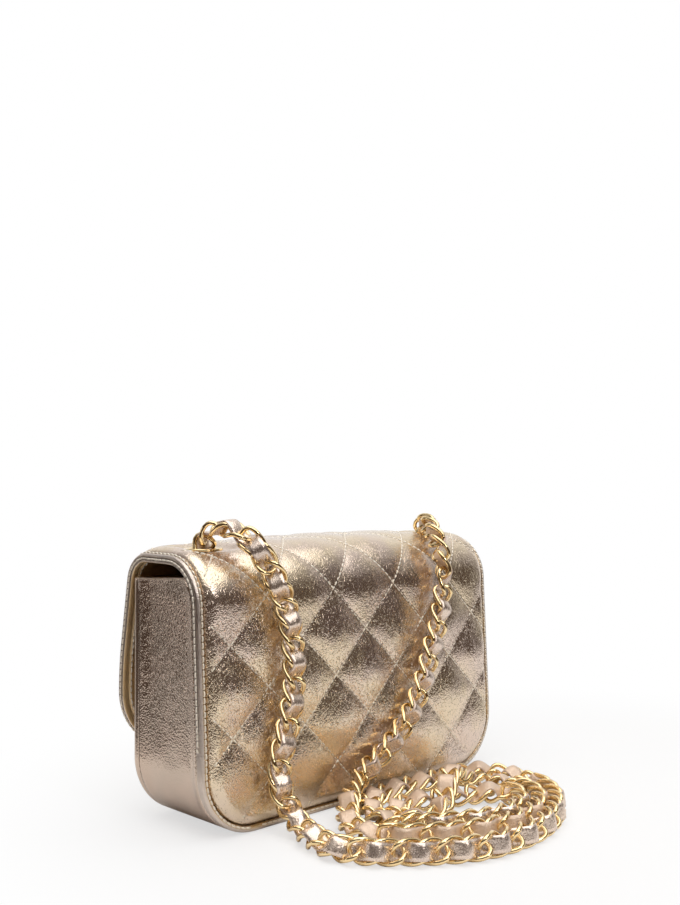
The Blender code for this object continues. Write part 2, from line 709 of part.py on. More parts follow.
def base_board():
    """The stiff board that keeps the bottom flat, between gusset and lining."""
    half = GUSSET_HALF - GUSSET_RADIUS - BOARD_MARGIN
    low = SKIN + GAP + BOARD_MARGIN
    high = BODY_DEPTH - SKIN - GAP - BOARD_MARGIN
    outline = ((-half, low), (half, low), (half, high), (-half, high))
    shape = prism_shape(outline, facing_up, BOARD_BASE, BOARD_BASE + BOARD_THICKNESS)
    add_mesh("base_board", shape, bag_root, *BOARD)


LINING_FOOT_Y = inner_back_y(0, -SKIN) - GAP
LINING_TOP_Y = inner_back_y(LINING_HEIGHT, -LEATHER) - GAP


def lining_back_y(z):
    """The lining's back wall leans evenly from its foot to its top."""
    return LINING_FOOT_Y + (LINING_TOP_Y - LINING_FOOT_Y) * z / LINING_HEIGHT


def lining():
    """The sewn lining, an open tub that follows the gusset and both panels."""
    sides = [LINING_BASE + LINING_RADIUS, LINING_HEIGHT]
    outer = u_line(LINING_HALF, LINING_BASE, LINING_RADIUS, LINING_HEIGHT, sides)
    inner = u_line(LINING_HALF - LINING, LINING_BASE + LINING, LINING_RADIUS - LINING, LINING_HEIGHT, sides)
    shape = bmesh.new()
    front = [shape.verts.new((x, LINING_FRONT_Y, z)) for x, z in outer]
    back = [shape.verts.new((x, lining_back_y(z), z)) for x, z in outer]
    inner_front = [shape.verts.new((x, LINING_FRONT_Y + LINING, z)) for x, z in inner]
    inner_back = [shape.verts.new((x, lining_back_y(z) - LINING, z)) for x, z in inner]
    for near, far in ((front, back), (inner_front, inner_back)):
        shape.faces.new(near)
        shape.faces.new(far)
        for k in range(len(near) - 1):
            shape.faces.new((near[k], near[k + 1], far[k + 1], far[k]))
    shape.faces.new((front[0], front[-1], inner_front[-1], inner_front[0]))
    shape.faces.new((back[0], back[-1], inner_back[-1], inner_back[0]))
    for end in (0, -1):
        shape.faces.new((front[end], back[end], inner_back[end], inner_front[end]))
    add_mesh("lining", shape, bag_root, *LINING_CLOTH)


def mouth_facing():
    """The leather strip inside the mouth, above the lining, along both sides and the front."""
    high = MOUTH_HEIGHT - FACING_DROP
    back = inner_back_y(high, -SKIN) - FACING_DROP
    path = ((-LINING_HALF, back), (-LINING_HALF, LINING_FRONT_Y), (LINING_HALF, LINING_FRONT_Y), (LINING_HALF, back))
    inner_path = (
        (-LINING_HALF + LINING, back), (-LINING_HALF + LINING, LINING_FRONT_Y + LINING),
        (LINING_HALF - LINING, LINING_FRONT_Y + LINING), (LINING_HALF - LINING, back))
    low = LINING_HEIGHT + GAP
    sections = []
    for (x, y), (inner_x, inner_y) in zip(path, inner_path):
        sections.append((
            Vector((x, y, low)), Vector((inner_x, inner_y, low)),
            Vector((inner_x, inner_y, high)), Vector((x, y, high)),
        ))
    add_mesh("mouth_facing", swept_shape(sections), bag_root, *INNER_FOIL)


def inner_pocket():
    """The flat slip pocket sewn to the lining's back wall."""
    def place(x, z, out):
        return Vector((x, lining_back_y(z) - LINING - GAP - out, z))

    half = POCKET_WIDTH / 2
    outline = ((-half, POCKET_LOW), (half, POCKET_LOW), (half, POCKET_HIGH), (-half, POCKET_HIGH))
    add_mesh("inner_pocket", prism_shape(outline, place, 0, LINING), bag_root, *LINING_CLOTH)


def eyelets(back, crown):
    """Flanged eyelets that carry the strap through the crown, each held by a washer below."""
    for name, side in (("left", 1), ("right", -1)):
        centre = (side * EYELET_X, EYELET_Y, 0)
        flange_low = EYELET_SEAT_HEIGHT + GAP
        flange_high = flange_low + EYELET_FLANGE_THICKNESS
        washer_high = EYELET_SEAT_HEIGHT - SKIN - GAP
        washer_low = washer_high - WASHER_THICKNESS
        tail = washer_low - EYELET_TAIL
        lip = EYELET_LIP
        outline = (
            (EYELET_HOLE_RADIUS, tail), (EYELET_BARREL_RADIUS, tail), (EYELET_BARREL_RADIUS, flange_low),
            (EYELET_FLANGE_RADIUS, flange_low), (EYELET_FLANGE_RADIUS, flange_high - lip),
            (EYELET_FLANGE_RADIUS - lip, flange_high), (EYELET_HOLE_RADIUS + lip, flange_high),
            (EYELET_HOLE_RADIUS, flange_high - lip),
        )
        shape = turned_shape(outline, centre, (0, 0, 1), ROUND_STEPS)
        add_mesh("eyelet_" + name, shape, bag_root, *GOLD, True)
        hole = EYELET_BARREL_RADIUS + GAP
        ring = ((hole, washer_low), (WASHER_RADIUS, washer_low), (WASHER_RADIUS, washer_high), (hole, washer_high))
        shape = turned_shape(ring, centre, (0, 0, 1), ROUND_STEPS)
        add_mesh("eyelet_washer_" + name, shape, bag_root, *GOLD, True)
        plug = ((0, tail - OVERRUN), (hole, tail - OVERRUN), (hole, flange_high + OVERRUN), (0, flange_high + OVERRUN))
        cutter = cut(back, turned_shape(plug, centre, (0, 0, 1), ROUND_STEPS), "eyelet_cut_" + name)
        trim(crown, cutter)


RING_HEIGHT = EYELET_SEAT_HEIGHT - SKIN - RING_DROP - RING_HALF_HEIGHT - RING_WIRE_RADIUS


def anchors():
    """Inside each end: a leather tab riveted to the lining, and the ring it holds."""
    for name, side in (("left", 1), ("right", -1)):
        anchor_ring(name, side)
        anchor_tab(name, side)


def anchor_ring(name, side):
    """An oval ring across the bag's depth, under the eyelet."""
    shape = bmesh.new()
    rings = []
    for k in range(ROUND_STEPS):
        angle = 2 * math.pi * k / ROUND_STEPS
        middle = Vector((side * EYELET_X, EYELET_Y + RING_HALF_WIDTH * math.cos(angle),
                         RING_HEIGHT + RING_HALF_HEIGHT * math.sin(angle)))
        out = Vector((0, RING_HALF_HEIGHT * math.cos(angle), RING_HALF_WIDTH * math.sin(angle))).normalized()
        ring = []
        for j in range(CORNER_STEPS):
            turn = 2 * math.pi * j / CORNER_STEPS
            ring.append(shape.verts.new(
                middle + (out * math.cos(turn) + Vector((1, 0, 0)) * math.sin(turn)) * RING_WIRE_RADIUS))
        rings.append(ring)
    for k in range(ROUND_STEPS):
        ring, following = rings[k], rings[(k + 1) % ROUND_STEPS]
        for j in range(CORNER_STEPS):
            after = (j + 1) % CORNER_STEPS
            shape.faces.new((ring[j], ring[after], following[after]))
            shape.faces.new((ring[j], following[after], following[j]))
    add_mesh("anchor_ring_" + name, shape, bag_root, *GOLD, True)


def anchor_tab(name, side):
    """A strip up the end wall and across to the ring, folded back round it."""
    eye = Vector((EYELET_X, RING_HEIGHT - RING_HALF_HEIGHT))
    wall = LINING_HALF - LINING - GAP
    round_radius = TAB_EYE_RADIUS + TAB_THICKNESS / 2
    middle = wall - TAB_THICKNESS / 2
    tail_top = eye.y - round_radius - TAB_SLOPE_RUN / 2
    line = [Vector((middle, tail_top - TAB_TAIL)), Vector((middle, tail_top)),
            Vector((middle - TAB_SLOPE_RUN, eye.y - round_radius))]
    for k in range(ARC_STEPS + 1):
        angle = -math.pi / 2 - math.pi * 2 * TAB_EYE_TURN * k / ARC_STEPS
        line.append(eye + Vector((math.cos(angle), math.sin(angle))) * round_radius)
    sections = []
    for k, point in enumerate(line):
        before, after = line[max(k - 1, 0)], line[min(k + 1, len(line) - 1)]
        run = (after - before).normalized()
        across = Vector((-run.y, run.x)) * TAB_THICKNESS / 2
        low, high = EYELET_Y - TAB_WIDTH / 2, EYELET_Y + TAB_WIDTH / 2
        one, two = point + across, point - across
        sections.append((
            Vector((side * one.x, low, one.y)), Vector((side * one.x, high, one.y)),
            Vector((side * two.x, high, two.y)), Vector((side * two.x, low, two.y)),
        ))
    tab = add_mesh("anchor_tab_" + name, swept_shape(sections), bag_root, *INNER_FOIL)
    centre = (side * (wall - TAB_THICKNESS), EYELET_Y, tail_top - TAB_TAIL + RIVET_RISE)
    axis = (-side, 0, 0)
    head = (
        (0, -TAB_THICKNESS), (RIVET_SHANK_RADIUS, -TAB_THICKNESS), (RIVET_SHANK_RADIUS, GAP),
        (RIVET_HEAD_RADIUS, GAP), (RIVET_HEAD_RADIUS, GAP + RIVET_HEAD_THICKNESS / 2),
        (RIVET_HEAD_RADIUS / 2, GAP + RIVET_HEAD_THICKNESS), (0, GAP + RIVET_HEAD_THICKNESS),
    )
    shape = turned_shape(head, centre, axis, SMALL_ROUND_STEPS)
    add_mesh("anchor_rivet_" + name, shape, bag_root, *GOLD, True)
    hole = RIVET_SHANK_RADIUS + GAP
    plug = ((0, -TAB_THICKNESS - GAP / 2), (hole, -TAB_THICKNESS - GAP / 2), (hole, OVERRUN), (0, OVERRUN))
    cut(tab, turned_shape(plug, centre, axis, SMALL_ROUND_STEPS), "rivet_cut_" + name)


FLAP_FACE = FLAP_STANDOFF + LOCK_SEAT_LIFT
FLAP_UNDER = FLAP_FACE - SKIN
REAR_PLATE_OUT = FLAP_UNDER - GAP
FRONT_PLATE_OUT = FLAP_FACE + GAP
BASE_PLATE_OUT = LOCK_SEAT_LIFT + GAP
FRONT_PLATE_FACE = FRONT_PLATE_OUT + LOCK_FRONT_PLATE
REAR_PLATE_FACE = REAR_PLATE_OUT - LOCK_REAR_PLATE
HUB_OUT = REAR_PLATE_FACE - HUB_CLEARANCE


def add_screw(name, x, z, head_out, tip_out, pivot):
    """A small round-headed screw that points into the bag."""
    outline = (
        (0, tip_out), (SCREW_SHANK_RADIUS, tip_out), (SCREW_SHANK_RADIUS, head_out),
        (SCREW_HEAD_RADIUS, head_out), (SCREW_HEAD_RADIUS, head_out + SCREW_HEAD_THICKNESS / 2),
        (SCREW_HEAD_RADIUS / 2, head_out + SCREW_HEAD_THICKNESS), (0, head_out + SCREW_HEAD_THICKNESS),
    )
    shape = turned_shape(outline, (x, 0, z), (0, -1, 0), SMALL_ROUND_STEPS)
    add_mesh(name, shape, pivot, *GOLD, True)


def screw_hole(x, z, low_out, high_out):
    """The clearance hole of one screw."""
    hole = SCREW_SHANK_RADIUS + GAP
    plug = ((0, low_out), (hole, low_out), (hole, high_out), (0, high_out))
    return turned_shape(plug, (x, 0, z), (0, -1, 0), SMALL_ROUND_STEPS)


def flap_lock(flap, flap_lining):
    """The slotted plates on both faces of the flap, and the screws through them."""
    outline = rounded_rectangle(LOCK_PLATE_WIDTH, LOCK_PLATE_HEIGHT, LOCK_PLATE_RADIUS, SLOT_MIDDLE)
    front = add_mesh(
        "lock_front_plate", prism_shape(outline, facing_front, FRONT_PLATE_OUT, FRONT_PLATE_FACE),
        flap_pivot, *GOLD)
    rear = add_mesh(
        "lock_rear_plate", prism_shape(outline, facing_front, REAR_PLATE_FACE, REAR_PLATE_OUT),
        flap_pivot, *GOLD)
    slot_height = SLOT_HIGH - SLOT_LOW
    slot_width = KNOB_WIDTH + 2 * SLOT_SIDE_CLEARANCE
    slot = rounded_rectangle(slot_width, slot_height, SLOT_SIDE_CLEARANCE, SLOT_MIDDLE)
    low, high = REAR_PLATE_FACE - OVERRUN, FRONT_PLATE_FACE + OVERRUN
    cutter = cut(front, prism_shape(slot, facing_front, low, high), "slot_cut")
    wide = rounded_rectangle(slot_width + 2 * GAP, slot_height + 2 * GAP, SLOT_SIDE_CLEARANCE, SLOT_MIDDLE)
    trim(rear, cutter)
    leather_cutter = cut(flap, prism_shape(wide, facing_front, low, high), "slot_leather_cut")
    trim(flap_lining, leather_cutter)
    for name, side in (("upper", 1), ("lower", -1)):
        z = SLOT_MIDDLE + side * FLAP_SCREW_SPACING / 2
        add_screw("plate_screw_" + name, 0, z, FRONT_PLATE_FACE + GAP, REAR_PLATE_FACE, flap_pivot)
        hole = cut(front, screw_hole(0, z, low, high), "plate_screw_cut_" + name)
        for piece in (rear, flap, flap_lining):
            trim(piece, hole)


def body_lock(front):
    """The lock's base plate on the front panel, its backing plate, screws and turning knob."""
    outline = rounded_rectangle(BASE_PLATE_WIDTH, BASE_PLATE_HEIGHT, LOCK_PLATE_RADIUS, LOCK_HEIGHT)
    face = BASE_PLATE_OUT + BASE_PLATE_THICKNESS
    base = add_mesh(
        "lock_base_plate", prism_shape(outline, facing_front, BASE_PLATE_OUT, face), bag_root, *GOLD)
    centre = (0, 0, LOCK_HEIGHT)
    hub = ((0, BASE_PLATE_OUT + GAP), (HUB_RADIUS, BASE_PLATE_OUT + GAP), (HUB_RADIUS, HUB_OUT), (0, HUB_OUT))
    hub_object = cut(base, turned_shape(hub, centre, (0, -1, 0), ROUND_STEPS), "hub_form")
    base.modifiers["hub_form"].operation = "UNION"
    hub_object.name = "hub_form"
    bore = KNOB_STEM_RADIUS + GAP
    plug = ((0, -OVERRUN), (bore, -OVERRUN), (bore, HUB_OUT + OVERRUN), (0, HUB_OUT + OVERRUN))
    cut(base, turned_shape(plug, centre, (0, -1, 0), ROUND_STEPS), "stem_cut")
    collar_hole = KNOB_COLLAR_RADIUS + GAP
    well = (
        (0, -LEATHER - OVERRUN), (collar_hole, -LEATHER - OVERRUN),
        (collar_hole, BASE_PLATE_OUT), (0, BASE_PLATE_OUT))
    cut(front, turned_shape(well, centre, (0, -1, 0), ROUND_STEPS), "collar_cut")
    backing_out = LOCK_SEAT_LIFT - LEATHER - GAP
    backing = add_mesh(
        "lock_backing_plate",
        prism_shape(outline, facing_front, backing_out - BACKING_THICKNESS, backing_out), bag_root, *GOLD)
    low = -LEATHER - BACKING_THICKNESS - OVERRUN
    for name, side in (("left", 1), ("right", -1)):
        x = side * BASE_SCREW_SPACING / 2
        add_screw("base_screw_" + name, x, LOCK_HEIGHT, face + GAP, backing_out - BACKING_THICKNESS, bag_root)
        hole = cut(base, screw_hole(x, LOCK_HEIGHT, low, face + OVERRUN), "base_screw_cut_" + name)
        for piece in (front, backing):
            trim(piece, hole)


def turn_knob():
    """The oval bar that turns in front of the flap, on a stem held by its collar."""
    collar_out = BASE_PLATE_OUT - GAP
    bar_out = FRONT_PLATE_FACE + KNOB_CLEARANCE
    stem = (
        (0, collar_out - KNOB_COLLAR_THICKNESS), (KNOB_COLLAR_RADIUS, collar_out - KNOB_COLLAR_THICKNESS),
        (KNOB_COLLAR_RADIUS, collar_out), (KNOB_STEM_RADIUS, collar_out),
        (KNOB_STEM_RADIUS, bar_out + KNOB_THICKNESS / 2), (0, bar_out + KNOB_THICKNESS / 2),
    )
    knob = add_mesh(
        "turn_knob", turned_shape(stem, (0, 0, LOCK_HEIGHT), (0, -1, 0), ROUND_STEPS), knob_pivot, *GOLD, True)
    bar = rounded_rectangle(KNOB_WIDTH, KNOB_LENGTH, KNOB_WIDTH / 2 - GAP / 2, LOCK_HEIGHT)
    form = cut(knob, prism_shape(bar, facing_front, bar_out, bar_out + KNOB_THICKNESS), "bar_form")
    knob.modifiers["bar_form"].operation = "UNION"
    return form


def smooth_route(route):
    """A smooth curve through the route's points, sampled finely."""
    spread = EYELET_X / route[0][0]
    points = [Vector((x * spread, y, z)) for x, y, z in route]
    padded = [points[0] * 2 - points[1]] + points + [points[-1] * 2 - points[-2]]
    line = []
    for before, start, end, after in zip(padded, padded[1:], padded[2:], padded[3:]):
        for k in range(CURVE_SAMPLES):
            t = k / CURVE_SAMPLES
            line.append((
                start * 2 + (end - before) * t + (before * 2 - start * 5 + end * 4 - after) * t ** 2
                + (start * 3 - before - end * 3 + after) * t ** 3) / 2)
    return line + [points[-1]]


def strap():
    """The strap as three tubes that meet end to end: a drop at each side and the loops between."""
    line = smooth_route(STRAP_ROUTE)
    along = [0.0]
    for one, two in zip(line, line[1:]):
        along.append(along[-1] + (two - one).length)
    coordinates = np.array([tuple(point) for point in line])
    total = along[-1]

    def at(distance):
        return Vector([float(np.interp(distance, along, coordinates[:, k])) for k in range(3)])

    def tangent(distance):
        return (at(distance + STRAP_END_RUN) - at(distance - STRAP_END_RUN)).normalized()

    def turning(distance):
        reach = STRAP_DIAMETER / 2
        before, here, after = at(distance - reach), at(distance), at(distance + reach)
        return (here - before).angle(after - here, 0) * STRAP_DIAMETER / reach

    ends = (0, STRAP_LEFT_LENGTH, total - STRAP_RIGHT_LENGTH, total)
    names = ("strap_left_drop", "strap_loops", "strap_right_drop")
    for name, start, stop in zip(names, ends, ends[1:]):
        samples = np.linspace(start, stop, max(2, int((stop - start) / STRAP_SAMPLE_STEP)))
        weights = [1 + STRAP_TURN_SHARE * turning(sample) for sample in samples]
        sums = np.concatenate([[0.0], np.cumsum([(a + b) / 2 for a, b in zip(weights, weights[1:])])])
        sums *= (samples[1] - samples[0])
        count = max(2, round(sums[-1] / STRAP_POINT_SPACING))
        distances = np.interp(np.linspace(0, sums[-1], count + 1), sums, samples)
        places = [at(distance) for distance in distances]
        if start > 0:
            run = tangent(start)
            places[0] = at(start) + run * GAP / 2
            places.insert(1, at(start) + run * STRAP_END_RUN)
        if stop < total:
            run = tangent(stop)
            places[-1] = at(stop) - run * GAP / 2
            places.insert(-1, at(stop) - run * STRAP_END_RUN)
        data = bpy.data.curves.new(name, "CURVE")
        data.dimensions = "3D"
        data.bevel_depth = STRAP_RADIUS
        data.bevel_resolution = 2
        data.use_fill_caps = True
        spline = data.splines.new("POLY")
        spline.points.add(len(places) - 1)
        for point, place in zip(spline.points, places):
            point.co = (*place, 1)
        add_object(name, data, bag_root, *GOLD)
        print(name, "points", len(places), "length", round(stop - start, 4))
    print("strap length", round(total, 4), "least gap to itself", round(self_gap(line, along), 5))


def self_gap(line, along):
    """The least gap between the tube and itself, away from each point's own stretch."""
    points = np.array([tuple(point) for point in line])
    lengths = np.array(along)
    least = float("inf")
    for k in range(len(points)):
        far = lengths > lengths[k] + SELF_GAP_STRETCH
        if far.any():
            least = min(least, np.linalg.norm(points[far] - points[k], axis=1).min())
    return least - STRAP_DIAMETER


def centre_on_origin(free_names):
    """Move the bag so that the origin lies under the middle of it, the strap left aside."""
    bpy.context.view_layer.update()
    graph = bpy.context.evaluated_depsgraph_get()
    low, high = [], []
    for piece in bpy.data.objects:
        if piece.type == "EMPTY" or piece.hide_render or piece.name in free_names:
            continue
        seen = piece.evaluated_get(graph)
        mesh = seen.to_mesh()
        ys = [(seen.matrix_world @ vertex.co).y for vertex in mesh.vertices]
        low.append(min(ys))
        high.append(max(ys))
        seen.to_mesh_clear()
    bag_root.location.y = -(min(low) + max(high)) / 2


back_panel, front_panel, flap_leather = panels()
crown_lining, flap_lining = linings()
edge_bands()
gusset()
base_board()
lining()
mouth_facing()
inner_pocket()
eyelets(back_panel, crown_lining)
anchors()
flap_lock(flap_leather, flap_lining)
body_lock(front_panel)
turn_knob()
strap()
centre_on_origin(("strap_left_drop", "strap_loops", "strap_right_drop"))
bpy.context.view_layer.update()
print("front face y", round(bag_root.location.y, 6))
print("flap hinge at", [round(c, 6) for c in flap_pivot.matrix_world.translation])
print("knob axis at", [round(c, 6) for c in knob_pivot.matrix_world.translation])
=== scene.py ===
"""Looks of a small quilted flap bag on a chain-and-ribbon strap, laid over its CAD frame."""

import math

import bpy
import numpy as np
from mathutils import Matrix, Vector, noise


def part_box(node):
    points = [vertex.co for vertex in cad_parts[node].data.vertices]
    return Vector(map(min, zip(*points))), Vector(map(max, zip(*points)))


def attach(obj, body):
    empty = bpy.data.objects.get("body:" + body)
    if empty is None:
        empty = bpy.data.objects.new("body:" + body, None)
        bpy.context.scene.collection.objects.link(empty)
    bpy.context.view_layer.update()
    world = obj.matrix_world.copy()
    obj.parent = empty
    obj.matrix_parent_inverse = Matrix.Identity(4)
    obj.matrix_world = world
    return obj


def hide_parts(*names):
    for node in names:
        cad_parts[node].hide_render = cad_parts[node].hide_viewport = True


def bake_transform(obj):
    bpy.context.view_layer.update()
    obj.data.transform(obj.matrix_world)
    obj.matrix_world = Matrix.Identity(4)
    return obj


bl_info = {
    "name": "Quilted flap bag",
    "version": (1, 0, 0),
    "blender": (4, 5, 0),
    "location": "View3D > Sidebar > Bag",
    "description": "Builds the leather, stitching, chain strap and studio of a small quilted bag",
    "category": "Object",
}

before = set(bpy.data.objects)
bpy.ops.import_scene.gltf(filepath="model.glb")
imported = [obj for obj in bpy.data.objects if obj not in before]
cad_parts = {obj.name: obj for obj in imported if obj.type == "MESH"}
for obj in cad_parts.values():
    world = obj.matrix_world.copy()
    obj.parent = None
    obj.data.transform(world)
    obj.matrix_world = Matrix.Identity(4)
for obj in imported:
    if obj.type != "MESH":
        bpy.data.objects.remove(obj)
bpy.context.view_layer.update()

MM = 0.001
MATERIALS = {}
FOLDS = "folds"
FOLD = "fold"

# Places that are read from the CAD pieces
FRONT_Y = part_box("front_edge_band")[0][1]
HALF_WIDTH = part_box("front_edge_band")[1][0]
BACK_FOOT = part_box("back_edge_band")[1][1] - FRONT_Y
MOUTH_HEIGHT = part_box("gusset")[1][2]

# Sizes that the CAD pieces have too
CROWN_HEIGHT = 0.1245
CORNER_RADIUS = 0.030
FLAP_RADIUS = 0.028
HEM_HEIGHT = 0.030
FOLD_Y = 0.0107
SKIN = 0.0038
LEATHER = 0.0027
BAND = 0.0032
GAP = 0.0003
EYELET_X = 0.076
EYELET_Y = 0.0215
EYELET_HOLE = 0.0073
LOCK_HEIGHT = 0.049
STEM_HOLE = 0.0062
SLOT_MIDDLE = 0.047
SLOT_HALF = (0.0042, 0.0090)
LINING_START = 0.1011
LINING_INSET = 0.0046
GUSSET_INSET = 0.0020
GUSSET_WALL = 0.0019

# The faces' soft bulge, and the flat ground under the metal (half sizes across and along)
BELLY = 0.0025
FRONT_BELLY = 0.001
BELLY_RAMP = 0.040
SEAT_HEIGHT = 0.1253
SEAT_RAMP = 0.006
STEEPEST = 0.2
EYELET_SEAT = (0.0095, 0.0095)
FLAP_SEAT = (0.012, 0.0145)
FRONT_SEAT = (0.012, 0.012)
LOCK_SEAT = 0.001

# Quilting: half a diamond across and along, its rise, and how it calms over crown and mouth
QUILT_U = 0.021
QUILT_V = 0.0205
QUILT_ROW = 0.085
QUILT_RISE = 0.0024
QUILT_SHARPNESS = 0.26
QUILT_DOME = 0.50
PUFF_RAMP = 0.005
PILLOW_WIDTH = 0.0042
PILLOW_RISE = 0.0014
PILLOW_DIP = 0.0004
CROWN_CALM = (0.098, 0.188)
CALM_RAMP = 0.022
MOUTH_CALM = (0.012, 0.008)
CROWN_FLATTENING = 0.4
CROWN_SWELL = 0.0005
PUCKER_WIDTH = 0.35
PUCKER_WAVES = ((1.0, 3.7, 1.0), (0.8, 5.9, 2.3), (0.5, 8.3, 3.1))
PUCKER_RISE = 0.00011
SLACK_RISE, SLACK_SIZE = 0.00025, 0.011
CREASE_RISE, CREASE_SIZE, CREASE_LEAST = 0.00005, 0.0024, 0.3
SLACK_RAMP, CROWN_SLACK = 0.003, 0.6
FOLD_REACH, FOLD_SHARPNESS, FOLD_EDGE, FOLD_LEAST = 0.012, 0.45, 0.6, 0.55
FOLD_PRESSED, FOLD_CALM = 0.7, 0.62

# Outlines, bands and stitches
OUTLINE_STEP = 0.0012
GUSSET_STEP = 0.0015
ARC_STEPS = 26
SHALLOW = 0.6
SEAM_STEP = 0.0004
SEAM_MARGIN = 0.0006
MOUTH_MARGIN = 0.002
SHORTEST_SEAM = 12
SEAM_PRESSED = 0.35
STITCH_SHARE = 0.93
THREAD_SIDES = 6
STITCH_PROFILE = (
    (-0.5, 0.45, -0.6), (-0.38, 0.9, 0.2), (0.0, 1.0, 0.5), (0.38, 0.9, 0.2), (0.5, 0.45, -0.6),
)

# Gusset: its flush edge, bowed middle, hem, waves and the rise of its top towards the back
GUSSET_FLUSH = 0.0003
GUSSET_BOW = 0.0065
GUSSET_RISE = 0.0026
GUSSET_HEM, HEM_DEPTH, HEM_RAMP = 0.00045, 0.0056, 0.0006
WAVE_RISE, WAVE_SIZE = 0.00030, 0.013
GUSSET_STEPS = 41
GRAIN_LEAST, GRAIN_FROM, GRAIN_RAMP = 0.12, 0.030, 0.030
GUSSET_SEAMS = ((2, 0.00005), (-3, 0))

# Studio
FLOOR_RADIUS = 0.33
FLOOR_CENTRE = (-0.06, 0.10, -0.0002)
FLOOR_COLOUR = (0.95, 0.945, 0.94, 1)
FLOOR_FADE = {"From Min": 0.15, "From Max": 0.31, "To Min": 0.62}
FLOOR_BEHIND = (0.10, 0.30)
WORLD_BEHIND = (0.30, 0.80)
OVERHEAD_RISE = {"From Min": 0.35, "From Max": 0.95}
WHITE = (1, 1, 1, 1)
ROOM_COLOUR = (0.064, 0.041, 0.029, 1)
OVERHEAD = (0.66, 0.66, 0.66, 1)
MIRRORED = 0.88
AWAY = (-0.697, -0.717, 0.0)
LAMPS = (
    ("top_softbox", (0.05, 0.30, 1.3), 1.9, 13.0),
    ("left_softbox", (0.90, -0.95, 0.30), 0.40, 0.6),
    ("right_softbox", (0.1, 1.4, 0.9), 0.35, 3.0),
)
LAMP_TARGET = (0, 0, 0.06)
CAMERA_PLACE = (0.39995, 0.41903 + 0.0285 + FRONT_Y, 0.16621)
CAMERA_LOOK = (-0.6967, -0.7174, 0.00995)
FOCAL_PIXELS, FRAME_PIXELS, SENSOR = 1131.07, 905, 36


def rounded_path(corners, radii, steps=24):
    """Points of a line through the corners, with each inner corner rounded."""
    points = [Vector(corners[0])]
    for before, corner, after, radius in zip(corners, corners[1:], corners[2:], radii):
        corner = Vector(corner)
        incoming = (corner - Vector(before)).normalized()
        outgoing = (Vector(after) - corner).normalized()
        turn = incoming.angle(outgoing)
        reach = radius * math.tan(turn / 2)
        side = (outgoing - incoming * incoming.dot(outgoing)).normalized()
        centre = corner - incoming * reach + side * radius
        for k in range(steps + 1):
            angle = turn * k / steps
            points.append(centre - side * radius * math.cos(angle) + incoming * radius * math.sin(angle))
    points.append(Vector(corners[-1]))
    return points


class SideLine:
    """The bag's side-on line: up the back, over the crown and down the flap."""

    def __init__(self, points):
        self.points = np.array([tuple(p) for p in points])
        runs = np.diff(self.points, axis=0)
        lengths = np.linalg.norm(runs, axis=1)
        self.along = np.concatenate([[0.0], np.cumsum(lengths)])
        units = runs / lengths[:, None]
        blends = np.vstack([units[:1], units[:-1] + units[1:], units[-1:]])
        self.tangents = blends / np.linalg.norm(blends, axis=1)[:, None]
        self.length = float(self.along[-1])

    def place(self, x, along, out):
        """World points for arrays of x across, length along and height out."""
        y = np.interp(along, self.along, self.points[:, 0])
        z = np.interp(along, self.along, self.points[:, 1])
        ty = np.interp(along, self.along, self.tangents[:, 0])
        tz = np.interp(along, self.along, self.tangents[:, 1])
        size = np.hypot(ty, tz)
        return np.stack([x + 0 * y, y + out * tz / size + FRONT_Y, z - out * ty / size], -1)


SHELL_LINE = SideLine(rounded_path(
    ((BACK_FOOT, 0), (BACK_FOOT, 0.030), (BACK_FOOT - 0.0049, CROWN_HEIGHT), (-0.0038, CROWN_HEIGHT),
     (-0.0128, 0.070), (-0.0128, HEM_HEIGHT)),
    (0.300, 0.022, 0.015, 0.150),
))
level_from = np.nonzero(SHELL_LINE.points[:, 1] > CROWN_HEIGHT - 1e-6)[0][0]
FOLD_ALONG = float(SHELL_LINE.along[level_from] + SHELL_LINE.points[level_from][0] - FOLD_Y)
EYELET_ALONG = FOLD_ALONG - (EYELET_Y - FOLD_Y)
LOCK_ALONG = SHELL_LINE.length - (SLOT_MIDDLE - HEM_HEIGHT)


def ease(share):
    share = np.clip(share, 0, 1)
    return share * share * (3 - 2 * share)


def unit(vectors):
    return vectors / np.linalg.norm(vectors, axis=1)[:, None]


def square_to(tangent, vectors):
    """The vectors made square to the tangents, at unit length."""
    return unit(vectors - tangent * np.sum(vectors * tangent, axis=1)[:, None])


def seat_weight(x, along, middle_x, middle_along, half):
    """1 where metal presses the leather flat, easing to 0 round it."""
    away_x = np.maximum(np.abs(x - middle_x) - half[0], 0)
    away_s = np.maximum(np.abs(along - middle_along) - half[1], 0)
    return ease(1 - np.hypot(away_x, away_s) / SEAT_RAMP)


def crumple(points, size, seed):
    """Smooth noise from -1 to 1 at each point."""
    offset = Vector((seed, 2 * seed, 3 * seed))
    flat = points.reshape(-1, 3) / size
    return np.array([noise.noise(Vector(p) + offset) for p in flat]).reshape(points.shape[:-1])


def rim_distance(x, past, radius):
    """Distance in from a rounded outline, for points that far past their corners' centres along."""
    out_x = np.abs(x) - (HALF_WIDTH - radius)
    return (radius - np.minimum(np.maximum(out_x, past), 0)
            - np.hypot(np.maximum(out_x, 0), np.maximum(past, 0)))


def half_width(distance, radius, inset):
    """Half a face's width at a distance from its rounded end, held in by the inset."""
    r = radius - inset
    down = np.clip(r - (distance - inset), 0, r)
    return HALF_WIDTH - radius + np.sqrt(r * r - down * down)


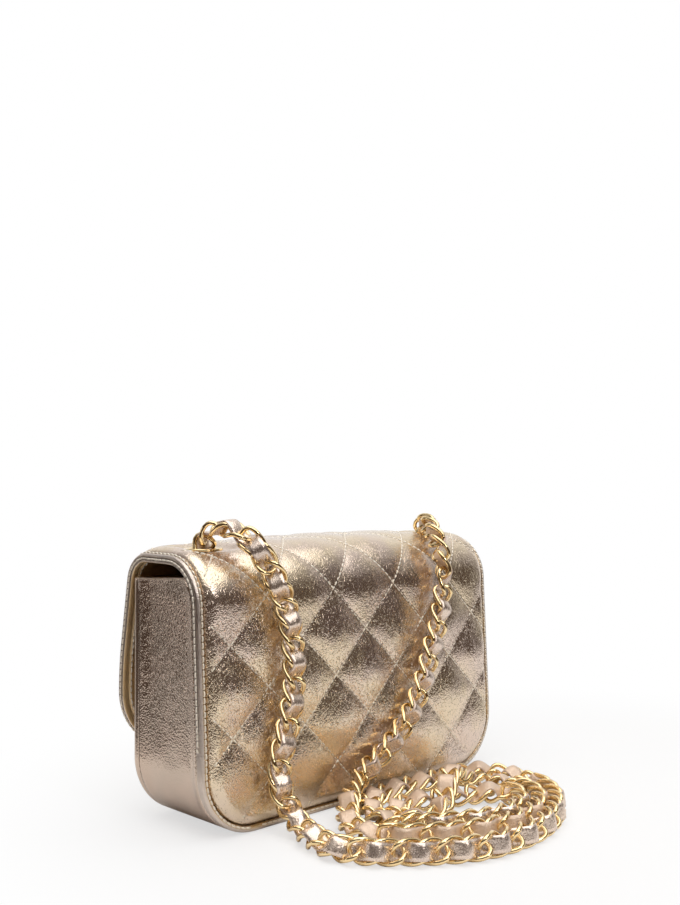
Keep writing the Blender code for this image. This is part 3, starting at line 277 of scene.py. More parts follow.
def rounded_outline(corners, closed, step):
    """Points (x, along, inward x, inward along) through arcs given as (centre, radius, first angle)."""
    marks = []
    for (cx, cs), radius, first in corners:
        if radius == 0:
            marks.append((cx, cs, -math.copysign(1, cx), 0.0))
            continue
        for k in range(ARC_STEPS + 1):
            angle = math.radians(first + 90 * k / ARC_STEPS)
            marks.append((cx + radius * math.cos(angle), cs + radius * math.sin(angle),
                          -math.cos(angle), -math.sin(angle)))
    if closed:
        marks.append(marks[0])
    line = []
    for one, two in zip(marks, marks[1:]):
        count = max(1, round(math.hypot(two[0] - one[0], two[1] - one[1]) / step))
        line += [[a + (b - a) * k / count for a, b in zip(one, two)] for k in range(count)]
    if not closed:
        line.append(list(marks[-1]))
    line = np.array(line)
    line[:, 2:] = unit(line[:, 2:])
    return line


class Shell:
    """Back, crown and flap: one face, with x across and along from the back's foot to the flap's hem."""

    stop = SHELL_LINE.length
    closed = True

    def place(self, x, along, out):
        return SHELL_LINE.place(x, along, out)

    def edge(self, x, along):
        """Distance in from the face's rounded outline."""
        middle = self.stop / 2
        radius = np.where(along < middle, CORNER_RADIUS, FLAP_RADIUS)
        return rim_distance(x, np.abs(along - middle) - (middle - radius), radius)

    def half(self, along, inset):
        """Half the width at a length along, held in by the inset."""
        return np.minimum(half_width(along, CORNER_RADIUS, inset),
                          half_width(self.stop - along, FLAP_RADIUS, inset))

    def level(self, x, along):
        """The soft bulge of the face, with flat ground under the metal, and how far it is pressed."""
        ends = ease(along / BELLY_RAMP) * ease((self.stop - along) / BELLY_RAMP)
        height = BELLY * (1 - (x / HALF_WIDTH) ** 2) * ends
        pressed = np.zeros_like(height)
        normal_z = -np.interp(along, SHELL_LINE.along, SHELL_LINE.tangents[:, 0])
        curve = np.interp(along, SHELL_LINE.along, SHELL_LINE.points[:, 1])
        lift = (SEAT_HEIGHT - curve) / np.maximum(normal_z, STEEPEST)
        for side in (-1, 1):
            weight = seat_weight(x, along, side * EYELET_X, EYELET_ALONG, EYELET_SEAT)
            height = height + weight * (lift - height)
            pressed = np.maximum(pressed, weight)
        weight = seat_weight(x, along, 0, LOCK_ALONG, FLAP_SEAT)
        height = height + weight * (LOCK_SEAT - height)
        return height, np.maximum(pressed, weight)

    def calm(self, along):
        """How far the leather is stretched smooth over the crown."""
        return ease((along - CROWN_CALM[0]) / CALM_RAMP) * ease((CROWN_CALM[1] - along) / CALM_RAMP)

    def holes(self, x, along):
        eyelets = np.hypot(np.abs(x) - EYELET_X, along - EYELET_ALONG) < EYELET_HOLE
        slot = (np.abs(x) < SLOT_HALF[0]) & (np.abs(along - LOCK_ALONG) < SLOT_HALF[1])
        return eyelets | slot

    def outline(self, step=OUTLINE_STEP):
        """Places and inward directions round the whole face."""
        low, high = CORNER_RADIUS, FLAP_RADIUS
        corners = (
            ((HALF_WIDTH - low, low), low, -90), ((HALF_WIDTH - high, self.stop - high), high, 0),
            ((-HALF_WIDTH + high, self.stop - high), high, 90), ((-HALF_WIDTH + low, low), low, 180),
        )
        return rounded_outline(corners, True, step)


class Front:
    """The front panel: x across and along from its foot to the mouth, facing -Y."""

    stop = MOUTH_HEIGHT
    closed = False

    def place(self, x, along, out):
        return np.stack([x + 0 * along, FRONT_Y - out + 0 * x, along + 0 * x], -1)

    def edge(self, x, along):
        return rim_distance(x, CORNER_RADIUS - along, CORNER_RADIUS)

    def half(self, along, inset):
        return half_width(along, CORNER_RADIUS, inset)

    def level(self, x, along):
        height = FRONT_BELLY * (1 - (x / HALF_WIDTH) ** 2) * ease(along / BELLY_RAMP)
        weight = seat_weight(x, along, 0, LOCK_HEIGHT, FRONT_SEAT)
        return height + weight * (LOCK_SEAT - height), weight

    def calm(self, along):
        return ease((along - (self.stop - MOUTH_CALM[0])) / MOUTH_CALM[1])

    def holes(self, x, along):
        return np.hypot(x, along - LOCK_HEIGHT) < STEM_HOLE

    def outline(self, step=OUTLINE_STEP):
        """Places and inward directions down one side, along the foot and up the other side."""
        r = CORNER_RADIUS
        corners = (
            ((-HALF_WIDTH, self.stop), 0, 0), ((-HALF_WIDTH + r, r), r, 180), ((HALF_WIDTH - r, r), r, 270),
            ((HALF_WIDTH, self.stop), 0, 0),
        )
        return rounded_outline(corners, False, step)


SHELL, FRONT = Shell(), Front()


def quilt_lines(x, along):
    """Counts of half diamonds along the two directions of the quilting."""
    across = x / QUILT_U
    up = (along - QUILT_ROW) / QUILT_V
    return across + up, across - up


def lattice(x, along):
    """How far a point is from the quilting's valleys: 0 in them, 1 in a diamond's middle."""
    one, other = quilt_lines(x, along)
    return np.abs(np.sin(math.pi * one / 2) * np.sin(math.pi * other / 2))


def puckers(x, along):
    """Small gathers that run out of each line of stitches, from -1 to 1."""
    rising, falling = quilt_lines(x, along)
    total = np.zeros_like(rising)
    for one, other, seed in ((rising, falling, 1.7), (falling, rising, 4.3)):
        near = np.exp(-(np.sin(math.pi * one / 2) / PUCKER_WIDTH) ** 2)
        phase = seed * np.round(one / 2) * 12.9898
        wave = sum(share * np.sin(2 * math.pi * other * rate + shift * phase)
                   for share, rate, shift in PUCKER_WAVES)
        total = total + near * wave / sum(share for share, _, _ in PUCKER_WAVES)
    return total


def skin_height(face, x, along):
    """Height of the quilted leather out of the face's curve, its ground, and how far it is pressed."""
    ground, pressed = face.level(x, along)
    inside = face.edge(x, along) - BAND - GAP
    if not face.closed:
        inside = np.minimum(inside, face.stop - along)
    calm = face.calm(along)
    pillow = np.sqrt(np.clip(1 - (1 - np.clip(inside / PILLOW_WIDTH, 0, 1)) ** 2, 0, 1))
    inner = lattice(x, along)
    puff = (1 - QUILT_DOME) * inner ** QUILT_SHARPNESS + QUILT_DOME * inner
    puff = puff * (1 - CROWN_FLATTENING * calm) * ease(inside / PUFF_RAMP)
    height = ground + (1 - pressed) * (
        PILLOW_RISE * pillow - PILLOW_DIP * (1 - pillow) + CROWN_SWELL * calm + QUILT_RISE * puff)
    return height, ground, pressed


def deselect():
    """Nothing stays selected, and no piece is being edited."""
    if bpy.context.object and bpy.context.object.mode != "OBJECT":
        bpy.ops.object.mode_set(mode="OBJECT")
    bpy.ops.object.select_all(action="DESELECT")


def choose(piece):
    """Only this piece is selected and active."""
    deselect()
    piece.select_set(True)
    bpy.context.view_layer.objects.active = piece


def piece_from(name, points, faces):
    """A smooth-shaded mesh piece at the origin from points and faces."""
    mesh = bpy.data.meshes.new(name)
    mesh.from_pydata([tuple(p) for p in points], [], faces)
    mesh.validate()
    piece = bpy.data.objects.new(name, mesh)
    bpy.context.scene.collection.objects.link(piece)
    mesh.shade_smooth()
    return piece


def face_outwards(piece):
    choose(piece)
    bpy.ops.object.mode_set(mode="EDIT")
    bpy.ops.mesh.select_all(action="SELECT")
    bpy.ops.mesh.normals_make_consistent(inside=False)
    bpy.ops.object.mode_set(mode="OBJECT")
    piece.select_set(False)


def slab(name, top, under, holes=None, folds=None):
    """A closed sheet between two grids of points, with walls round its rim and its holes.

    The folds grid, if there is one, is kept on the points as an attribute for the leather's crinkles.
    """
    rows, columns = top.shape[:2]
    count = rows * columns
    faces, used = [], {}
    for r in range(rows - 1):
        for c in range(columns - 1):
            if holes is not None and holes[r, c]:
                continue
            a = r * columns + c
            ring = (a, a + 1, a + columns + 1, a + columns)
            faces.append(ring)
            faces.append(tuple(count + i for i in reversed(ring)))
            for one, two in zip(ring, ring[1:] + ring[:1]):
                if (two, one) in used:
                    del used[(two, one)]
                else:
                    used[(one, two)] = True
    for one, two in used:
        faces.append((two, one, count + one, count + two))
    points = np.concatenate([top.reshape(-1, 3), under.reshape(-1, 3)])
    kept = sorted({i for face in faces for i in face})
    place = {old: new for new, old in enumerate(kept)}
    piece = piece_from(name, points[kept], [tuple(place[i] for i in face) for face in faces])
    if folds is not None:
        values = np.concatenate([folds.ravel(), folds.ravel()])[kept]
        kept_folds = piece.data.attributes.new(FOLDS, "FLOAT", "POINT")
        kept_folds.data.foreach_set("value", values.astype(np.float32))
    face_outwards(piece)
    return piece


def tube_mesh(rings, closed_path=False):
    """Points and faces through rings of points, an array (rings, sides, 3), capped unless closed."""
    count, sides = rings.shape[:2]
    faces = []
    for k in range(count if closed_path else count - 1):
        a, b = k * sides, ((k + 1) % count) * sides
        for j in range(sides):
            n = (j + 1) % sides
            faces.append((a + j, a + n, b + n, b + j))
    if not closed_path:
        faces.append(tuple(range(sides - 1, -1, -1)))
        faces.append(tuple((count - 1) * sides + j for j in range(sides)))
    return rings.reshape(-1, 3), faces


def merge_parts(name, parts):
    """One piece from a list of (points, faces)."""
    points, faces, start = [], [], 0
    for part_points, part_faces in parts:
        points.append(np.asarray(part_points))
        faces += [tuple(start + i for i in face) for face in part_faces]
        start += len(part_points)
    return piece_from(name, np.concatenate(points), faces)


def stitches(name, curves, pitch, radius):
    """Short sewn stitches along curves of world points with their outward directions."""
    parts = []
    length = pitch * STITCH_SHARE
    turn = np.linspace(0, 2 * math.pi, THREAD_SIDES, endpoint=False)
    ring = np.array([(math.cos(a), math.sin(a)) for a in turn])
    for points, normals in curves:
        steps = np.linalg.norm(np.diff(points, axis=0), axis=1)
        along = np.concatenate([[0], np.cumsum(steps)])
        count = int((along[-1] - length) / pitch)
        if count < 1:
            continue
        middles = (along[-1] - (count - 1) * pitch) / 2 + pitch * np.arange(count)

        def read(field, at):
            return np.array([np.interp(at, along, field[:, k]) for k in range(3)])

        for middle in middles:
            centre, normal = read(points, middle), read(normals, middle)
            run = read(points, middle + length / 2) - read(points, middle - length / 2)
            run /= np.linalg.norm(run)
            normal -= run * normal.dot(run)
            normal /= np.linalg.norm(normal)
            side = np.cross(run, normal)
            rings = np.array([[centre + run * t * length + normal * radius * lift
                               + (side * c + normal * s) * radius * r for c, s in ring]
                              for t, r, lift in STITCH_PROFILE])
            parts.append(tube_mesh(rings))
    piece = merge_parts(name, parts)
    face_outwards(piece)
    return dress(piece, "thread")


def carry(piece, body, slot, *solids):
    """Hides the solids that a piece stands for and hangs it on its body's empty, or bakes its place into its
    mesh where it lies over the fold. The slot is not used.
    """
    if solids:
        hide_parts(*solids)
    if body == FOLD:
        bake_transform(piece)
    else:
        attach(piece, body)


def sew(name, curves, pitch, body, slot):
    """Stitches along curves, carried with the piece that they hold."""
    carry(stitches(name, curves, pitch, bpy.context.scene.bag_looks.thread_radius), body, slot)


def swept_band(name, face, path, section, deep=None):
    """A band along a path in a face's flat pattern, its section given as (distance in, height out, finish).

    Where deep is below 1 on the path, the section's grooves are that much shallower.
    """
    x, along, inward_x, inward_s = path.T
    rings = []
    for k, (inward, out, _) in enumerate(section):
        if deep is not None and 0 < k < len(section) - 1:
            flat = min(inward, (section[k - 1][0] + section[k + 1][0]) / 2)
            inward = flat + (inward - flat) * deep
        inward = inward * MM + 0 * x
        rings.append(face.place(x + inward_x * inward, along + inward_s * inward, out * MM + 0 * x))
    piece = merge_parts(name, [tube_mesh(np.stack(rings, 1), face.closed)])
    face_outwards(piece)
    dress_band(piece, section, deep)
    return piece


def new_material(name):
    made = bpy.data.materials.new(name)
    made.use_nodes = True
    nodes = made.node_tree.nodes
    return made, nodes, made.node_tree.links, nodes["Principled BSDF"]


def link_all(links, rows):
    """Links given as rows of (node, output, node, input)."""
    for source, output, target, entry in rows:
        links.new(source.outputs[output], target.inputs[entry])


def add_node(nodes, kind, inputs=(), **settings):
    """A shader node with its settings and its unlinked input values."""
    node = nodes.new("ShaderNode" + kind)
    for key, value in settings.items():
        setattr(node, key, value)
    for key, value in dict(inputs).items():
        node.inputs[key].default_value = value
    return node


def float_group(name, inputs, outputs):
    """A node group of float sockets, given as inputs with their defaults and names of outputs."""
    group = bpy.data.node_groups.new(name, "ShaderNodeTree")
    for label, default in inputs:
        socket = group.interface.new_socket(label, in_out="INPUT", socket_type="NodeSocketFloat")
        socket.default_value = default
    for label in outputs:
        group.interface.new_socket(label, in_out="OUTPUT", socket_type="NodeSocketFloat")
    nodes = group.nodes
    return group, nodes, group.links, nodes.new("NodeGroupInput"), nodes.new("NodeGroupOutput")


def grain_group():
    """Crinkled foil grain: wrinkles over pebbles, as a height from 0 to 1 and a crease mask."""
    group, nodes, links, inside, outside = float_group(
        "Foil grain", (("Pebble Scale", 900.0), ("Wrinkle Scale", 260.0), ("Wrinkle Share", 0.6)),
        ("Height", "Crease"))
    coordinates = add_node(nodes, "TexCoord")
    warp = add_node(nodes, "TexNoise", {"Scale": 260, "Detail": 2})
    offset = add_node(nodes, "VectorMath", {1: (0.0022, 0.0022, 0.0022)}, operation="MULTIPLY_ADD")
    stretch = add_node(nodes, "VectorMath", {1: (1.2, 1.2, 0.55)}, operation="MULTIPLY")
    pebbles = add_node(nodes, "TexVoronoi", {"Smoothness": 0.35}, feature="SMOOTH_F1")
    wrinkles = add_node(nodes, "TexNoise", {"Detail": 2, "Roughness": 0.5, "Distortion": 0.6},
                        noise_type="RIDGED_MULTIFRACTAL")
    flatten = add_node(nodes, "MapRange", {"From Max": 1.4})
    mixing = add_node(nodes, "Mix", data_type="FLOAT")
    link_all(links, (
        (coordinates, "Object", warp, "Vector"),
        (warp, "Color", offset, 0),
        (coordinates, "Object", offset, 2),
        (offset, 0, pebbles, "Vector"),
        (inside, "Pebble Scale", pebbles, "Scale"),
        (offset, 0, stretch, 0),
        (stretch, 0, wrinkles, "Vector"),
        (inside, "Wrinkle Scale", wrinkles, "Scale"),
        (wrinkles, "Fac", flatten, "Value"),
        (inside, "Wrinkle Share", mixing, "Factor"),
        (pebbles, "Distance", mixing, "A"),
        (flatten, "Result", mixing, "B"),
        (mixing, "Result", outside, "Height"),
        (flatten, "Result", outside, "Crease"),
    ))
    return group


def foil_leather(name, warm, cool, pebble, wrinkle, share, depth, roughness, metallic=0.92, folds=None):
    """Foil leather: two foil tints drift over it, and its crinkles deepen where the folds attribute says."""
    made, nodes, links, shader = new_material(name)
    grain = add_node(nodes, "Group")
    grain.node_tree = bpy.data.node_groups.get("Foil grain") or grain_group()
    grain.inputs["Pebble Scale"].default_value = pebble
    grain.inputs["Wrinkle Scale"].default_value = wrinkle
    grain.inputs["Wrinkle Share"].default_value = share
    coordinates = add_node(nodes, "TexCoord")
    drift = add_node(nodes, "TexNoise", {"Scale": 42, "Detail": 3, "Roughness": 0.55})
    spread = add_node(nodes, "MapRange", {"From Min": 0.40, "From Max": 0.62})
    tint = add_node(nodes, "Mix", {"A": (*warm, 1), "B": (*cool, 1)}, data_type="RGBA")
    dull = add_node(nodes, "MapRange", {"To Min": roughness - 0.06, "To Max": roughness + 0.10})
    bump = add_node(nodes, "Bump", {"Strength": 1, "Distance": depth})
    height = (grain, "Height")
    if folds:
        mask = add_node(nodes, "Attribute", attribute_name=folds)
        deepen = add_node(nodes, "MapRange", {"To Min": 0.20, "To Max": 1.2})
        product = add_node(nodes, "Math", operation="MULTIPLY")
        link_all(links, (
            (mask, "Fac", deepen, "Value"),
            (*height, product, 0),
            (deepen, "Result", product, 1),
        ))
        height = (product, 0)
    link_all(links, (
        (coordinates, "Object", drift, "Vector"),
        (drift, "Fac", spread, "Value"),
        (spread, "Result", tint, "Factor"),
        (tint, "Result", shader, "Base Color"),
        (grain, "Crease", dull, "Value"),
        (dull, "Result", shader, "Roughness"),
        (*height, bump, "Height"),
        (bump, "Normal", shader, "Normal"),
    ))
    shader.inputs["Metallic"].default_value = metallic
    return made


def tooth_group():
    """A fine tooth for thread, cloth, board and metal, as a height, with a slow drift as a mask."""
    group, nodes, links, inside, outside = float_group(
        "Fine tooth", (("Scale", 1500.0),), ("Height", "Drift"))
    coordinates = add_node(nodes, "TexCoord")
    tooth = add_node(nodes, "TexNoise", {"Detail": 3})
    drift = add_node(nodes, "TexNoise", {"Scale": 150, "Detail": 2})
    link_all(links, (
        (coordinates, "Object", tooth, "Vector"),
        (coordinates, "Object", drift, "Vector"),
        (inside, "Scale", tooth, "Scale"),
        (tooth, "Fac", outside, "Height"),
        (drift, "Fac", outside, "Drift"),
    ))
    return group


def toothed(name, light, dark, roughness, metallic, scale, depth):
    """A finish of two near tints with a fine tooth and a slow drift in its gloss."""
    made, nodes, links, shader = new_material(name)
    grain = add_node(nodes, "Group")
    grain.node_tree = bpy.data.node_groups.get("Fine tooth") or tooth_group()
    grain.inputs["Scale"].default_value = scale
    tint = add_node(nodes, "Mix", {"A": (*dark, 1), "B": (*light, 1)}, data_type="RGBA")
    spread = add_node(nodes, "MapRange", {
        "From Min": 0.3, "From Max": 0.7, "To Min": max(roughness - 0.04, 0.04), "To Max": roughness + 0.06})
    bump = add_node(nodes, "Bump", {"Strength": 1, "Distance": depth})
    link_all(links, (
        (grain, "Drift", tint, "Factor"),
        (tint, "Result", shader, "Base Color"),
        (grain, "Drift", spread, "Value"),
        (spread, "Result", shader, "Roughness"),
        (grain, "Height", bump, "Height"),
        (bump, "Normal", shader, "Normal"),
    ))
    shader.inputs["Metallic"].default_value = metallic
    return made


class BAG_OT_finishes(bpy.types.Operator):
    """Foil leathers, thread, metals and cloth that the other steps put on their pieces"""

    bl_idname = "bag.finishes"
    bl_label = "Finishes"

    def execute(self, context):
        looks = context.scene.bag_looks
        MATERIALS.update({
            "quilt": foil_leather("Quilted foil leather", looks.quilt_colour, (0.77, 0.63, 0.53),
                                  1500, 1150, 0.85, 0.00050, 0.22, folds=FOLDS),
            "band": foil_leather("Edge band foil", (0.66, 0.49, 0.29), (0.62, 0.50, 0.38),
                                 1300, 600, 0.4, 0.00022, 0.28),
            "welt": foil_leather("Welt foil", (0.68, 0.58, 0.50), (0.60, 0.52, 0.46),
                                 1500, 800, 0.4, 0.00024, 0.34),
            "gusset": foil_leather("Gusset foil leather", looks.gusset_colour, (0.58, 0.47, 0.38),
                                   1150, 950, 0.40, 0.00038, 0.26, folds=FOLDS),
            "flap_lining": foil_leather("Flap lining leather", (0.84, 0.62, 0.34), (0.74, 0.56, 0.34),
                                        1500, 600, 0.3, 0.00015, 0.42, 0.6),
            "ribbon": foil_leather("Ribbon foil leather", looks.ribbon_colour, (0.76, 0.63, 0.54),
                                   1500, 700, 0.8, 0.00026, 0.33, 0.88),
            "ribbon_back": toothed("Ribbon's inner side", (0.90, 0.70, 0.54), (0.78, 0.59, 0.44),
                                   0.38, 0.5, 1500, 0.0004),
            "raw_edge": toothed("Raw leather edge", (0.76, 0.58, 0.49), (0.66, 0.49, 0.41),
                                0.7, 0, 1800, 0.0002),
            # The grooves' dark finish is painted shade: it darkens the band's recesses as their shadow
            # would.
            "groove_painted_shade": toothed("Seam groove with painted shade", (0.20, 0.15, 0.12), (0.13, 0.10, 0.08),
                              0.6, 0, 900, 0.0001),
            "thread": toothed("Stitching thread", looks.thread_colour, (0.90, 0.81, 0.67),
                              0.36, 0.5, 5000, 0.0001),
            "gold": toothed("Polished pale gold", looks.gold_colour, (0.91, 0.69, 0.36),
                            0.12, 1, 700, 0.00001),
            "brushed": toothed("Satin pale gold", (0.86, 0.66, 0.38), (0.80, 0.60, 0.33),
                               0.27, 1, 2400, 0.00003),
            "lining": toothed("Lining cloth", (0.10, 0.080, 0.070), (0.07, 0.055, 0.048),
                              0.8, 0, 2600, 0.0003),
            "board": toothed("Base board", (0.50, 0.42, 0.32), (0.42, 0.35, 0.27), 0.9, 0, 700, 0.0002),
        })
        return {"FINISHED"}


def dress(piece, *keys):
    piece.data.materials.clear()
    for key in keys:
        piece.data.materials.append(MATERIALS[key])
    return piece


def dress_band(piece, section, deep=None):
    """Each strip of the band gets the finish that its section names, but the grooves' dark finish, which is
    painted shade, gives way to welt where they are shallow.
    """
    keys = list(dict.fromkeys(key for _, _, key in section))
    dress(piece, *keys)
    order = [keys.index(key) for _, _, key in section]
    sides = len(section)
    marks = [order[index % sides] if len(polygon.vertices) == 4 else order[0]
             for index, polygon in enumerate(piece.data.polygons)]
    if deep is not None:
        groove_painted_shade, welt = keys.index("groove_painted_shade"), keys.index("welt")
        marks = [welt if mark == groove_painted_shade and deep[index // sides] < SHALLOW else mark
                 for index, mark in enumerate(marks)]
    piece.data.polygons.foreach_set("material_index", marks)


def cell_holes(face, x, along):
    """Which cells of a grid of points lie in the face's holes."""
    return face.holes((x[1:, 1:] + x[:-1, :-1]) / 2, (along[1:, 1:] + along[:-1, :-1]) / 2)


def skin_mesh(name, face, steps):
    """The quilted leather of a face, laid between its edge bands."""
    inset = BAND + GAP
    stop = face.stop - (inset if face.closed else 0)
    alongs = np.linspace(inset, stop, round((stop - inset) / (QUILT_V / steps)) + 1)
    shares = np.linspace(-1, 1, 2 * round((HALF_WIDTH - inset) / (QUILT_U / steps)) + 1)
    along, share = np.meshgrid(alongs, shares, indexing="ij")
    x = share * face.half(along, inset)
    height, ground, pressed = skin_height(face, x, along)
    inside = face.edge(x, along) - inset
    calm = face.calm(along)
    folds = 1 - lattice(x, along) ** FOLD_SHARPNESS + FOLD_EDGE * np.exp(-inside / FOLD_REACH)
    folds = FOLD_LEAST + (1 - FOLD_LEAST) * np.clip(folds, 0, 1)
    folds = folds * (1 - FOLD_PRESSED * pressed) * (1 - FOLD_CALM * calm)
    flat = face.place(x, along, ground)
    free = (1 - pressed) * ease(inside / SLACK_RAMP) * (1 - CROWN_SLACK * calm)
    height = height + free * (SLACK_RISE * crumple(flat, SLACK_SIZE, 1.3) + PUCKER_RISE * puckers(x, along)
                              + CREASE_RISE * (CREASE_LEAST + folds) * crumple(flat, CREASE_SIZE, 4.1))
    skin = slab(name, face.place(x, along, height), face.place(x, along, ground - LEATHER),
                cell_holes(face, x, along), folds)
    return dress(skin, "quilt")


def quilting_runs(face):
    """Every line of quilting stitches on a face, as world points with outward directions."""
    inset = BAND + GAP + SEAM_MARGIN
    stop = face.stop - (inset if face.closed else MOUTH_MARGIN)
    reach = int((stop - inset) / QUILT_V + HALF_WIDTH / QUILT_U) + 2
    along = np.arange(inset, stop, SEAM_STEP)
    runs = []
    for slope in (-1, 1):
        for k in range(-reach, reach + 1):
            x = slope * (along - QUILT_ROW) / QUILT_V * QUILT_U + 2 * k * QUILT_U
            free = (np.abs(x) < face.half(along, inset)) & (face.level(x, along)[1] < SEAM_PRESSED)
            for part in np.split(np.arange(len(x)), np.nonzero(np.diff(free.astype(int)))[0] + 1):
                if free[part[0]] and len(part) > SHORTEST_SEAM:
                    height = skin_height(face, x[part], along[part])[0]
                    points = face.place(x[part], along[part], height)
                    runs.append((points, face.place(x[part], along[part], height + MM) - points))
    return runs


def row_run(face, path, inward, height, outward=1):
    """A row of stitches that follows a path at a distance in, on a surface at a height out."""
    x, along = path[:, 0] + path[:, 2] * inward, path[:, 1] + path[:, 3] * inward
    points = face.place(x, along, height + 0 * x)
    return points, face.place(x, along, height + outward * MM + 0 * x) - points


def side_run(face, path, out):
    """A row of stitches on the side of a band, facing outwards from its outline."""
    x, along, inward_x, inward_s = path.T
    points = face.place(x, along, out + 0 * x)
    return points, face.place(x - inward_x * MM, along - inward_s * MM, out + 0 * x) - points


class BAG_OT_quilting(bpy.types.Operator):
    """Quilted leather of the back, crown, flap and front, with its stitching"""

    bl_idname = "bag.quilting"
    bl_label = "Quilted leather"

    def execute(self, context):
        looks = context.scene.bag_looks
        steps = looks.quilt_steps
        skin = skin_mesh("quilted_skin", SHELL, steps)
        carry(skin, FOLD, "quilted_leather", "back_panel", "flap_leather")
        carry(skin_mesh("quilted_front", FRONT, steps), "bag_body", "quilted_leather", "front_panel")
        sew("quilt_stitches", quilting_runs(SHELL), looks.stitch_pitch, FOLD, "quilted_leather")
        sew("front_stitches", quilting_runs(FRONT), looks.stitch_pitch, "bag_body", "quilted_leather")
        return {"FINISHED"}


# Section of the cover's edge band as (distance in, height out, finish); its groove strips carry a dark
# finish that is painted shade in the recesses.
SHELL_SECTION = (
    (3.20, -0.60, "band"), (3.15, 0.05, "band"), (2.75, 0.34, "band"), (2.20, 0.44, "band"),
    (1.65, 0.38, "welt"), (0.75, 0.22, "welt"), (0.20, -0.20, "welt"), (0.00, -0.80, "welt"),
    (0.12, -1.28, "groove_painted_shade"), (0.60, -1.46, "groove_painted_shade"), (0.12, -1.64, "welt"), (0.00, -2.05, "welt"),
    (0.12, -2.48, "groove_painted_shade"), (0.55, -2.64, "groove_painted_shade"), (0.12, -2.80, "welt"), (0.00, -3.20, "welt"),
    (0.18, -3.60, "flap_lining"), (0.60, -3.80, "flap_lining"), (3.20, -3.80, "band"),
)
BAND_ROW, FLAP_ROW, SIDE_ROW, WELT_ROW = (2.3, 0.44), 4.6, -2.05, (2.0, 0.38)
# How deep the band's grooves are along the outline, shallower near the foot; where they are shallow, their
# painted shade is left off.
GROOVE_LEAST, GROOVE_FROM, GROOVE_RAMP = 0.25, 0.030, 0.040
SIDE_SEAM_FROM = 0.040
FLAP_SEAM_PAST_FOLD = 0.004
LINING_GRID = (120, 101)
LINING_WIDENS, LINING_RAMP = 0.012, 0.010
LINING_RISE, LINING_SIZE = 0.00012, 0.009
FRONT_SECTION = (
    (3.20, -0.60, "band"), (3.15, 0.02, "band"), (2.70, 0.30, "band"), (1.90, 0.38, "band"),
    (1.10, 0.20, "gusset"), (0.45, -0.35, "gusset"), (0.10, -1.20, "gusset"), (0.00, -2.20, "gusset"),
    (0.08, -3.30, "gusset"), (0.45, -3.80, "gusset"), (3.20, -3.80, "gusset"),
)
class BAG_OT_edges(bpy.types.Operator):
    """Layered, stitched bands round the edges, and the lining under crown and flap"""

    bl_idname = "bag.edges"
    bl_label = "Edge bands and flap lining"

    def execute(self, context):
        pitch = context.scene.bag_looks.edge_pitch
        round_shell, round_front = SHELL.outline(), FRONT.outline()
        deep = GROOVE_LEAST + (1 - GROOVE_LEAST) * ease((round_shell[:, 1] - GROOVE_FROM) / GROOVE_RAMP)
        band = swept_band("cover_edge_band", SHELL, round_shell, SHELL_SECTION, deep)
        carry(band, FOLD, "edge_leather", "back_edge_band", "flap_edge_band")
        band = swept_band("front_edge_welt", FRONT, round_front, FRONT_SECTION)
        carry(band, "bag_body", "edge_leather", "front_edge_band")

        alongs = np.linspace(LINING_START, SHELL.stop - BAND - GAP, LINING_GRID[0])
        along, share = np.meshgrid(alongs, np.linspace(-1, 1, LINING_GRID[1]), indexing="ij")
        wide = ease((along - FOLD_ALONG + LINING_WIDENS) / LINING_RAMP)
        narrow = LINING_INSET + (BAND + GAP - LINING_INSET) * wide
        x = share * (SHELL.half(along, BAND + GAP) - (narrow - BAND - GAP))
        ground = SHELL.level(x, along)[0]
        soft = LINING_RISE * crumple(SHELL.place(x, along, ground), LINING_SIZE, 7.7)
        lining = slab("cover_lining", SHELL.place(x, along, ground - LEATHER - GAP),
                      SHELL.place(x, along, ground - SKIN + soft), cell_holes(SHELL, x, along))
        carry(dress(lining, "flap_lining"), FOLD, "plain_leather", "crown_lining", "flap_lining")

        free = round_shell[:, 1] > FOLD_ALONG + FLAP_SEAM_PAST_FOLD
        order = np.roll(np.arange(len(round_shell)), -int(np.nonzero(free)[0][0]))
        flap_edge = round_shell[order][: int(free.sum())]
        seam = round_shell[round_shell[:, 1] > SIDE_SEAM_FROM]
        first = int(np.argmax(np.linalg.norm(np.diff(seam[:, :2], axis=0), axis=1)))
        seam = np.roll(seam, -first - 1, axis=0)
        rows = [row_run(SHELL, round_shell, BAND_ROW[0] * MM, BAND_ROW[1] * MM),
                row_run(SHELL, flap_edge, FLAP_ROW * MM, -SKIN, -1), side_run(SHELL, seam, SIDE_ROW * MM)]
        sew("cover_edge_stitches", rows, pitch, FOLD, "edge_leather")
        rows = [row_run(FRONT, round_front, WELT_ROW[0] * MM, WELT_ROW[1] * MM)]
        sew("front_edge_stitches", rows, pitch, "bag_body", "edge_leather")
        return {"FINISHED"}


def gusset_back(z):
    """How far back the gusset reaches at a height, in the bag's frame."""
    along = np.linspace(0, FOLD_ALONG, 400)
    inner = SHELL_LINE.place(0 * along, along, 0 * along - SKIN - GAP)
    rising = np.concatenate([[True], np.diff(np.maximum.accumulate(inner[:, 2])) > 0])
    return np.interp(z, inner[rising, 2], inner[rising, 1] - FRONT_Y)


